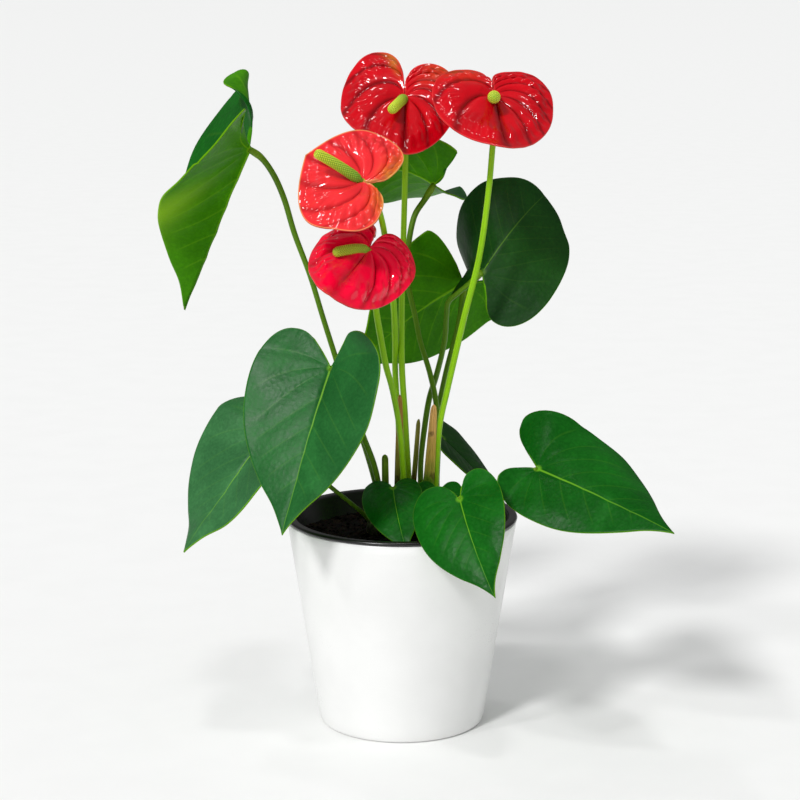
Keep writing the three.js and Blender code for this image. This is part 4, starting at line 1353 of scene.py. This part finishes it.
@dataclass(frozen=True)
class Pots:
    """The white cover pot and the black grower's pot that hangs in it by its lip."""

    cover_height: float = 126.0
    cover_top: float = 69.6
    cover_foot: float = 50.0
    cover_wall: float = 2.4
    cover_floor: float = 3.0
    lip_radius: float = 70.0
    lip_height: float = 2.2
    lip_width: float = 6.0
    grower_wall: float = 1.8
    grower_foot: float = 47.5
    grower_foot_height: float = 10.0
    gap: float = 0.3
    sides: int = 180

    def cover_radius(self, height: float) -> float:
        """The outer radius of the cover pot at a height."""
        return self.cover_foot + (self.cover_top - self.cover_foot) * height / self.cover_height

    def cover_profile(self) -> list[Pair]:
        """The cover pot's outline, from the middle of its foot, over the rim, to the middle of its floor."""
        height, wall = self.cover_height, self.cover_wall
        outer = [(self.cover_radius(z), z) for z in np.linspace(2, height - 0.8, 24)]
        inner = [(self.cover_radius(z) - wall, z) for z in np.linspace(height - 0.6, self.cover_floor, 16)]
        edge, top = self.cover_foot, self.cover_top
        foot = [(0, 0), (edge - 2, 0), (edge - 0.9, 0.35), (edge - 0.15, 1.1)]
        rim = [(top - 0.5, height - 0.15), (top - 1.2, height), (top - wall + 0.5, height)]
        return [*foot, *outer, *rim, *inner, (0, self.cover_floor)]

    def grower_profile(self) -> list[Pair]:
        """The grower's pot's outline, from the middle of its foot, over the lip, to its floor's middle."""
        seat = self.cover_height + self.gap
        top = seat + self.lip_height
        mouth = self.lip_radius - self.lip_width
        body = mouth + self.grower_wall
        wall, foot = self.grower_wall, self.grower_foot_height
        under = [(0, foot), (self.grower_foot, foot), (body - 0.4, seat), (self.lip_radius - 0.7, seat)]
        lip = [
            (self.lip_radius - 0.15, seat + 0.25),
            (self.lip_radius, seat + 0.8),
            (self.lip_radius - 0.2, seat + 1.5),
            (self.lip_radius - 0.9, top - 0.12),
            (self.lip_radius - 1.8, top),
            (body + 1.2, top - 0.25),
            (body + 0.2, top - 0.1),
            (mouth + 0.6, top - 0.5),
            (mouth, seat + 0.9),
        ]
        return [*under, *lip, (self.grower_foot - wall, foot + wall), (0, foot + wall)]

    def build(self) -> None:
        """Makes both pots and puts them in the place of their solids."""
        wares = {
            Ware.COVER: (self.cover_profile(), COVER_SKIN, "outer_pot"),
            Ware.GROWER: (self.grower_profile(), GROWER_SKIN, "nursery_pot"),
        }
        for ware, (profile, skin, name) in wares.items():
            Piece(name, spun(profile, self.sides), [skin.material()]).stand_for(ware.value, ware.value)


# ---------- studio ----------
@dataclass(frozen=True)
class Studio:
    """The pale floor, the soft lights and the camera of the photo's view."""

    camera_place: Point = (-0.0011, -1.237, 0.4385)
    camera_pitch: float = 79.02
    camera_lens: float = 94.5
    sensor_width: float = 36.0
    floor_reach: float = 200.0
    sky: Colour = (0.86, 0.87, 0.88)
    sky_strength: float = 0.63
    shining_tone: float = 0.16
    backdrop_tone: float = 0.93

    def build(self) -> None:
        """Sets everything round the plant."""
        self.add_floor()
        self.add_camera()
        self.add_light("key", azimuth=-120, elevation=40, spread=9, strength=1.75)
        self.add_light("left_window", azimuth=-138, elevation=48, spread=5, strength=0.35)
        self.add_light("roof_window", azimuth=-100, elevation=76, spread=6, strength=0.32)
        self.add_light("back_window", azimuth=135, elevation=64, spread=5, strength=0.15)
        self.add_surroundings()
        bpy.context.scene.view_settings.view_transform = "Standard"

    def add_surroundings(self) -> None:
        """Sets an even light all round, dimmer for what shines, and a backdrop as pale as the floor."""
        world = bpy.data.worlds.new("studio")
        bpy.context.scene.world = world
        world.use_nodes = True
        nodes, links = world.node_tree.nodes, world.node_tree.links
        seen = nodes["Background"].outputs[0]
        nodes["Background"].inputs["Color"].default_value = (*self.sky, 1)
        nodes["Background"].inputs["Strength"].default_value = self.sky_strength
        path = nodes.new("ShaderNodeLightPath")
        for ray, tone in (("Is Glossy Ray", self.shining_tone), ("Is Camera Ray", self.backdrop_tone)):
            other = nodes.new("ShaderNodeBackground")
            other.inputs["Color"].default_value = (tone, tone, tone, 1)
            either = nodes.new("ShaderNodeMixShader")
            links.new(path.outputs[ray], either.inputs[0])
            links.new(seen, either.inputs[1])
            links.new(other.outputs[0], either.inputs[2])
            seen = either.outputs[0]
        links.new(seen, nodes["World Output"].inputs["Surface"])

    def add_floor(self) -> None:
        """Lays a plain pale floor."""
        mesh = bmesh.new()
        bmesh.ops.create_grid(mesh, x_segments=2, y_segments=2, size=self.floor_reach)
        floor = Piece("floor", mesh, [FLOOR_SKIN.material()])

    def add_camera(self) -> None:
        """Sets up the camera."""
        data = bpy.data.cameras.new("camera")
        data.lens = self.camera_lens
        data.sensor_width = self.sensor_width
        camera = bpy.data.objects.new("camera", data)
        camera.location = self.camera_place
        camera.rotation_euler = (math.radians(self.camera_pitch), 0, 0)
        bpy.context.scene.collection.objects.link(camera)
        bpy.context.scene.camera = camera

    def add_light(self, name: str, azimuth: float, elevation: float, spread: float, strength: float) -> None:
        """Adds a soft light that comes evenly from one side.

        Args:
            name: what the light does.
            azimuth: the side it comes from, counted from +X towards +Y.
            elevation: how high it stands.
            spread: how wide it looks, which softens its shadows.
            strength: its power on each square metre.
        """
        data = bpy.data.lights.new(name, "SUN")
        data.angle = math.radians(spread)
        data.energy = strength
        light = bpy.data.objects.new(name, data)
        light.rotation_euler = (0, math.radians(90 - elevation), math.radians(azimuth))
        bpy.context.scene.collection.objects.link(light)


# ---------- the plant ----------
LEAVES = [
    Leaf(
        "leaf_1",
        BladeForm(
            joint=(-90, 5, 348), azimuth=135, elevation=-57.5, roll=-48.7, length=121, half_width=57, lobe=42,
            width=(0.94, 1.06), lobe_length=(0.92, 1.08), widest_at=0.15, sinus=(60, 60), sinus_straight=0.08,
            lobe_centre=0.56, droop=1, lobe_bend=(-60, -13), lobe_curl=(0, -148), curl_from=0.17,
            fold=(42.5, 20.5), fold_at_lobes=-22, fold_at_tip=50, arch=(16, 12), tip_fullness=0.18,
            tip_length=0.19, belly=0.28, drip=0.13, twist=-8,
        ),
        [
            (-90, 5, 348), (-83, 6, 343), (-76, 7, 333), (-70, 8, 319), (-64, 9, 298), (-55, 9, 273),
            (-47, 9, 246), (-40, 9, 223), (-33, 9, 199), (-25, 9, 176), (-17, 8, 150), (-13, 7, 133),
            (-12, 7, 121),
        ],
        seed=1,
        aged_at=((-42, 14, 1),),
    ),
    Leaf(
        "leaf_2",
        BladeForm(
            joint=(-41.3, -38, 224.8), azimuth=-119, elevation=-54, roll=15, length=104, half_width=46,
            lobe=23, sinus=(40, 40), sinus_straight=0.54, lobe_centre=0.58, droop=6, lobe_bend=(-43, -18),
            fold=(17, 31), fold_at_lobes=4, fold_at_tip=-23, arch=(16, -2), tip_length=0.16, twist=7.5,
        ),
        [
            (-41.3, -38, 224.8), (-36, -30, 214), (-29, -21, 200), (-23, -9, 178), (-17, -3, 160),
            (-14, -0.5, 146), (-13, 0.5, 134), (-13, 1, 121),
        ],
        seed=2,
        top=LEAF_PAINTED_SHEEN,
    ),
    Leaf(
        "leaf_3",
        BladeForm(
            joint=(-79.3, -20, 183.1), azimuth=-145, elevation=-46, roll=-5, length=87, half_width=40.5,
            lobe=24, width=(0.93, 1.07), widest_at=0.2, sinus=(25, 25), lobe_centre=0.51, droop=4,
            lobe_bend=(21, 21), fold=(15, 15), fold_at_lobes=-18, fold_at_tip=-23, arch=(-2, -2), belly=0.6,
            tip_fullness=0.12, tip_length=0.13, twist=-10,
        ),
        [
            (-79, -20, 183), (-69, -17, 173), (-56, -12, 160), (-43, -8, 147), (-31, -4, 136), (-22, 0, 127),
            (-18, 2, 121),
        ],
        radius=1.3,
        seed=3,
        top=LEAF_PAINTED_STRONG_SHEEN,
    ),
    Leaf(
        "leaf_4",
        BladeForm(
            joint=(-5.1, -21.5, 149.1), azimuth=-88, elevation=-15, roll=20, length=52, half_width=18,
            lobe=11, width=(0.93, 1.07), widest_at=0.16, sinus=(26, 26), droop=50, lobe_bend=(7, 7),
            fold=(-2, 22), fold_at_tip=-3, arch=(26, 26), twist=-6,
        ),
        [
            (-5.1, -21.5, 149.1), (-5.5, -17, 147.5), (-6.5, -12.5, 141), (-7, -10, 131), (-7, -9, 106),
        ],
        radius=1.1,
        seed=4,
    ),
    Leaf(
        "leaf_5",
        BladeForm(
            joint=(33.4, -62, 152.2), azimuth=-79, elevation=-34, roll=37, length=66, half_width=28, lobe=15,
            width=(0.9, 1.1), widest_at=0.12, sinus=(25, 25), sinus_straight=0.38, lobe_centre=0.51, droop=32,
            lobe_bend=(-11, -11), fold=(4, 20), fold_at_tip=-2, arch=(23, 23), tip_fullness=0.15,
            tip_length=0.19, twist=-10,
        ),
        [
            (33.4, -62, 152.2), (34.5, -52, 151), (36.5, -38, 147.5), (37, -24, 141), (36, -15, 131),
            (35.5, -13, 106),
        ],
        radius=1.3,
        seed=5,
    ),
    Leaf(
        "leaf_6",
        BladeForm(
            joint=(79.5, -40, 165.2), azimuth=-41.4, elevation=-11, roll=39.4, length=96.3, half_width=40.7,
            lobe=23, width=(1.14, 0.78), lobe_length=(1.01, 0.64), widest_at=0.17, sinus=(31, 24),
            sinus_straight=0.29, lobe_centre=0.57, droop=8.4, lobe_bend=(35, -16), fold=(7, 7),
            fold_at_lobes=33, fold_at_tip=-27, arch=(38, 17), belly=0.46, tip_fullness=0.2, tip_length=0.22,
            twist=16,
        ),
        [
            (79, -40, 165), (71, -34, 160), (58, -24, 153), (44, -14, 146), (33, -7, 138), (26, -3, 130),
            (24.5, -1.5, 121),
        ],
        radius=1.5,
        seed=6,
    ),
    Leaf(
        "leaf_7",
        BladeForm(
            joint=(19.7, 42, 323.9), azimuth=177, elevation=35.5, roll=19, length=68, half_width=39, lobe=15,
            width=(0.93, 1.07), lobe_length=(0.56, 1.44), widest_at=0.11, sinus=(85, 25), droop=72,
            lobe_bend=(-90, 0), fold=(29, -4), fold_at_lobes=29, fold_at_tip=-30, arch=(0, -5),
            tip_fullness=0.12, tip_length=0.25, twist=-30,
        ),
        [
            (19.7, 42, 324), (14, 40, 315), (8, 37, 306), (4, 32, 288.5), (3, 28, 276.5), (4, 25, 263.5),
            (8, 22, 246), (11, 19, 231.5), (17, 15.5, 212), (21, 12, 193), (22, 8.5, 172), (21, 6, 148),
            (21, 5.5, 134), (21, 5.5, 121),
        ],
        seed=7,
    ),
    Leaf(
        "leaf_8",
        BladeForm(
            joint=(38.3, 56, 261.7), azimuth=179, elevation=-28.5, roll=58, length=80.5, half_width=43.3,
            lobe=14, lobe_length=(0.15, 1.9), widest_at=0.05, sinus=(85, 35), lobe_centre=0.5, droop=29,
            lobe_bend=(0, 8), fold=(13, 10), fold_at_lobes=-2, fold_at_tip=-22, arch=(0, 2),
            tip_fullness=0.19, tip_length=0.02, twist=-5,
        ),
        [
            (38.3, 56, 261.7), (38, 55, 255), (35, 49, 236.5), (28, 40, 211.6), (24, 32, 195),
            (21, 25, 181.5), (19, 18.5, 164), (18, 15, 146), (17.5, 14, 133), (17.5, 13.5, 121),
        ],
        seed=8,
    ),
    Leaf(
        "leaf_9",
        BladeForm(
            joint=(48.2, 12, 274.3), azimuth=20, elevation=55, roll=51, length=68, half_width=45, lobe=22,
            width=(1.04, 0.96), widest_at=0.12, sinus=(44, 44), droop=41, fold=(-46, -10), fold_at_tip=36,
            arch=(37, -5), belly=0.9, tip_fullness=0.19, tip_length=0.02, twist=-47,
        ),
        [
            (48.2, 12, 274.3), (41, 15, 267), (33, 18, 260), (28, 20, 254.7), (27, 20.5, 246.6),
            (26, 21, 231.5), (21, 21, 209.5), (17, 20, 196.5), (14, 17.5, 179), (11.5, 14, 155),
            (12, 11, 133), (12.5, 10.5, 121),
        ],
        seed=9,
        top=LEAF_PAINTED_SHADE,
    ),
    Leaf(
        "leaf_10",
        BladeForm(
            joint=(26, 50, 164), azimuth=0, elevation=-45, roll=12, length=60, half_width=22, lobe=10,
            droop=6,
        ),
        [
            (26, 50, 164), (23.5, 46, 159), (22, 38, 152), (22, 28, 143), (22.5, 18, 132), (22.5, 13.5, 121),
        ],
        radius=1.2,
        seed=10,
        top=LEAF_PAINTED_SHADE,
    ),
    Leaf(
        "leaf_11",
        BladeForm(
            joint=(22, -19, 146.3), azimuth=-95, elevation=-30, length=33, half_width=15, lobe=8, droop=15,
        ),
        [
            (22, -19, 146.3), (22.5, -15, 142.5), (22.5, -13, 136), (22.5, -12, 128), (22.5, -12, 106),
        ],
        radius=1.1,
        seed=11,
    ),
]

BLOOMS = [
    Bloom(
        "bloom_a",
        spathe_form(
            joint=(1.8, 3, 378.6), azimuth=-90, elevation=-49, roll=3.5, length=45, half_width=35, lobe=29,
            width=(0.89, 1.11), lobe_length=(0.8, 1.2), lobe_centre=0.44, droop=-11, lobe_bend=(-2, -2),
            fold=(6, 1), fold_at_lobes=-2, arch=(19, 19), twist=21,
        ),
        [
            (1.8, 3, 378.6), (2, 4, 371), (2, 4.5, 358), (2, 4.5, 340), (1, 4.5, 299), (0, 5, 260),
            (0, 6, 218), (2, 7, 186), (4, 8.5, 147), (4.5, 8.5, 133), (4.5, 8.5, 121),
        ],
        spike_tip=(-6.2, -22, 372.2),
        spike_radius=3,
        spike_arch=0,
        spike_skin=SpadixSkin("spadix_a", (0.2, 0.36, 0.012), (0.5, 0.62, 0.015), (0.68, 0.74, 0.025)),
        pads=(4, 2.2),
        seed=21,
        aged_at=((166, 7, 0.7), (-130, 20, 0.25)),
    ),
    Bloom(
        "bloom_b",
        spathe_form(
            joint=(52.6, -28, 380), azimuth=-82, elevation=-42, roll=-4, length=49, half_width=35.5,
            lobe=23.5, sinus_straight=0.6, lobe_centre=0.49, droop=-20, lobe_bend=(10, 10), fold=(3, 1),
            fold_at_tip=-7, arch=(14, 14), twist=2,
        ),
        [
            (52.6, -28, 380), (53, -27, 373), (53, -27, 362), (52, -27, 352), (50, -26, 327), (45, -23, 288),
            (36, -18, 249), (27, -12, 207), (23, -9, 187), (21, -5, 163), (20, -3.5, 134), (20, -3.5, 121),
        ],
        spike_tip=(51.4, -54, 381.5),
        spike_radius=3.6,
        spike_arch=0,
        spike_skin=SpadixSkin("spadix_b", (0.3, 0.42, 0.015), (0.5, 0.62, 0.02), (0.6, 0.68, 0.03)),
        pads=(4, 1.9),
        seed=22,
        aged_at=((145, 20, 0.25),),
    ),
    Bloom(
        "bloom_c",
        spathe_form(
            joint=(-22.5, -55, 334.4), azimuth=161, elevation=15, roll=-33, length=36, half_width=37,
            lobe=18.4, width=(1.09, 0.91), lobe_length=(1.09, 0.91), widest_at=0.2, sinus=(14, 14),
            sinus_straight=0.33, lobe_centre=0.59, droop=-19, lobe_bend=(-8, -8), fold=(-3, 15),
            fold_at_lobes=-3, fold_at_tip=-4, arch=(5, 5), tip_length=0.11, belly=0.62, twist=10,
        ),
        [
            (-22.5, -55, 334.4), (-19, -49, 331.4), (-15, -42, 322.5), (-11, -32, 307.5), (-8, -19, 284.5),
            (-5, -7, 259.3), (-4, 3, 234), (-4, 10, 215), (-3, 13, 197), (-2, 15, 177), (-2, 15, 133),
            (-2, 14.5, 121),
        ],
        spike_tip=(-48.3, -67, 351.6),
        spike_radius=3,
        spike_arch=0.6,
        spike_skin=SpadixSkin("spadix_c", (0.16, 0.34, 0.012), (0.42, 0.56, 0.015), (0.7, 0.74, 0.02)),
        pads=(3, 3),
        seed=23,
        aged_at=((158, 30, 1), (-165, 26, 1)),
        pucker=0.5,
        top=SPATHE_AGEING_AND_SHEEN,
    ),
    Bloom(
        "bloom_d",
        spathe_form(
            joint=(-18.9, -45, 294.8), azimuth=-117.5, elevation=-31, roll=-22, length=58, half_width=31.5,
            lobe=23, widest_at=-0.04, sinus=(6.5, 6.5), sinus_straight=0.54, lobe_centre=0.48, droop=-26,
            lobe_bend=(2, 2), fold=(-13, 0), fold_at_lobes=-9, fold_at_tip=-4, arch=(27, 27),
            tip_fullness=0.36, tip_length=0.02, belly=0.5, twist=10.5,
        ),
        [
            (-18.9, -45, 294.8), (-18, -42, 287.2), (-16, -39, 273.3), (-15, -36, 259.5), (-12, -31.5, 239.8),
            (-9, -27, 223), (-6, -24, 211.5), (-2, -17, 189), (0, -11, 170), (1, -6, 150.5), (1.5, -3.5, 135),
            (1.5, -3, 121),
        ],
        spike_tip=(-38.2, -63, 295),
        spike_radius=3,
        spike_arch=1,
        spike_skin=SpadixSkin("spadix_d", (0.4, 0.5, 0.015), (0.6, 0.66, 0.018), (0.62, 0.7, 0.022)),
        pads=(3.6, 2.2),
        puff=0.24,
        seed=24,
        top=SPATHE_PAINTED_LIGHT,
    ),
]

BRACTS = [
    Bract(
        "bract_tall",
        foot=(-1.5, 2, 124),
        tip=(-1.3, -8, 203),
        half_width=3.4,
        facing=-100,
        hollow=1.0,
        skin=BractSkin("tall_bract", (0.03, 0.09, 0.008), (0.4, 0.36, 0.04), (0.7, 0.34, 0.09), 0.42),
        blunt=0.25,
    ),
    Bract(
        "bract_tan",
        foot=(14.5, -5, 124),
        tip=(19.2, -12, 198),
        half_width=3.4,
        facing=-95,
        hollow=1.4,
        skin=BractSkin("tan_bract", (0.16, 0.42, 0.01), (0.82, 0.58, 0.1), (0.95, 0.54, 0.18), 0.5),
        blunt=0.35,
    ),
    Bract(
        "bract_small",
        foot=(5.4, 0.5, 124),
        tip=(10.3, -2, 187),
        half_width=1.6,
        facing=-80,
        hollow=0.4,
        skin=BractSkin("small_bract", (0.16, 0.03, 0.015), (0.22, 0.26, 0.02), (0.32, 0.3, 0.05), 0.5),
        blunt=0.55,
    ),
    Bract(
        "bract_short",
        foot=(-9.8, -3, 124),
        tip=(-10.1, -5, 166),
        half_width=2.2,
        facing=-100,
        hollow=0.6,
        skin=BractSkin("short_bract", (0.06, 0.16, 0.01), (0.14, 0.3, 0.01), (0.2, 0.36, 0.02), 0.5),
        blunt=0.7,
    ),
]

CROWNS = [
    Crown("crown_left", -14, 3, 7.6, 9),
    Crown("crown_middle", 0.6, 7, 6.4, 12),
    Crown("crown_right", 17.6, 5, 9.8, 13),
]


class Plant:
    """Everything that grows: leaves, blooms, bracts and crowns."""

    def build(self) -> None:
        """Makes every piece of the plant."""
        tops = {skin: skin.material() for skin in (LEAF_FRESH, LEAF_PAINTED_SHEEN, LEAF_PAINTED_STRONG_SHEEN, LEAF_PAINTED_SHADE)}
        back = LEAF_BACK.material()
        petiole = PETIOLE_SKIN.material()
        for leaf in LEAVES:
            leaf.build(tops[leaf.top], back, petiole)
        hood_tops = {skin: skin.material() for skin in (SPATHE_CRIMSON, SPATHE_AGEING_AND_SHEEN, SPATHE_PAINTED_LIGHT)}
        hood_back = SPATHE_BACK.material()
        stalk = STALK_SKIN.material()
        for bloom in BLOOMS:
            bloom.build(hood_tops[bloom.top], hood_back, stalk)
        for bract in BRACTS:
            bract.build()
        crown_skin = CROWN_SKIN.material()
        for crown in CROWNS:
            crown.build(crown_skin)


def main() -> None:
    """Builds the studio, the pots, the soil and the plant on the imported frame, and notes the sizes."""
    logging.basicConfig(level=logging.INFO, format="%(message)s")
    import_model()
    Studio().build()
    Pots().build()
    Soil().build(EARTH_SKIN.material())
    Plant().build()


if __name__ == "__main__":
    main()
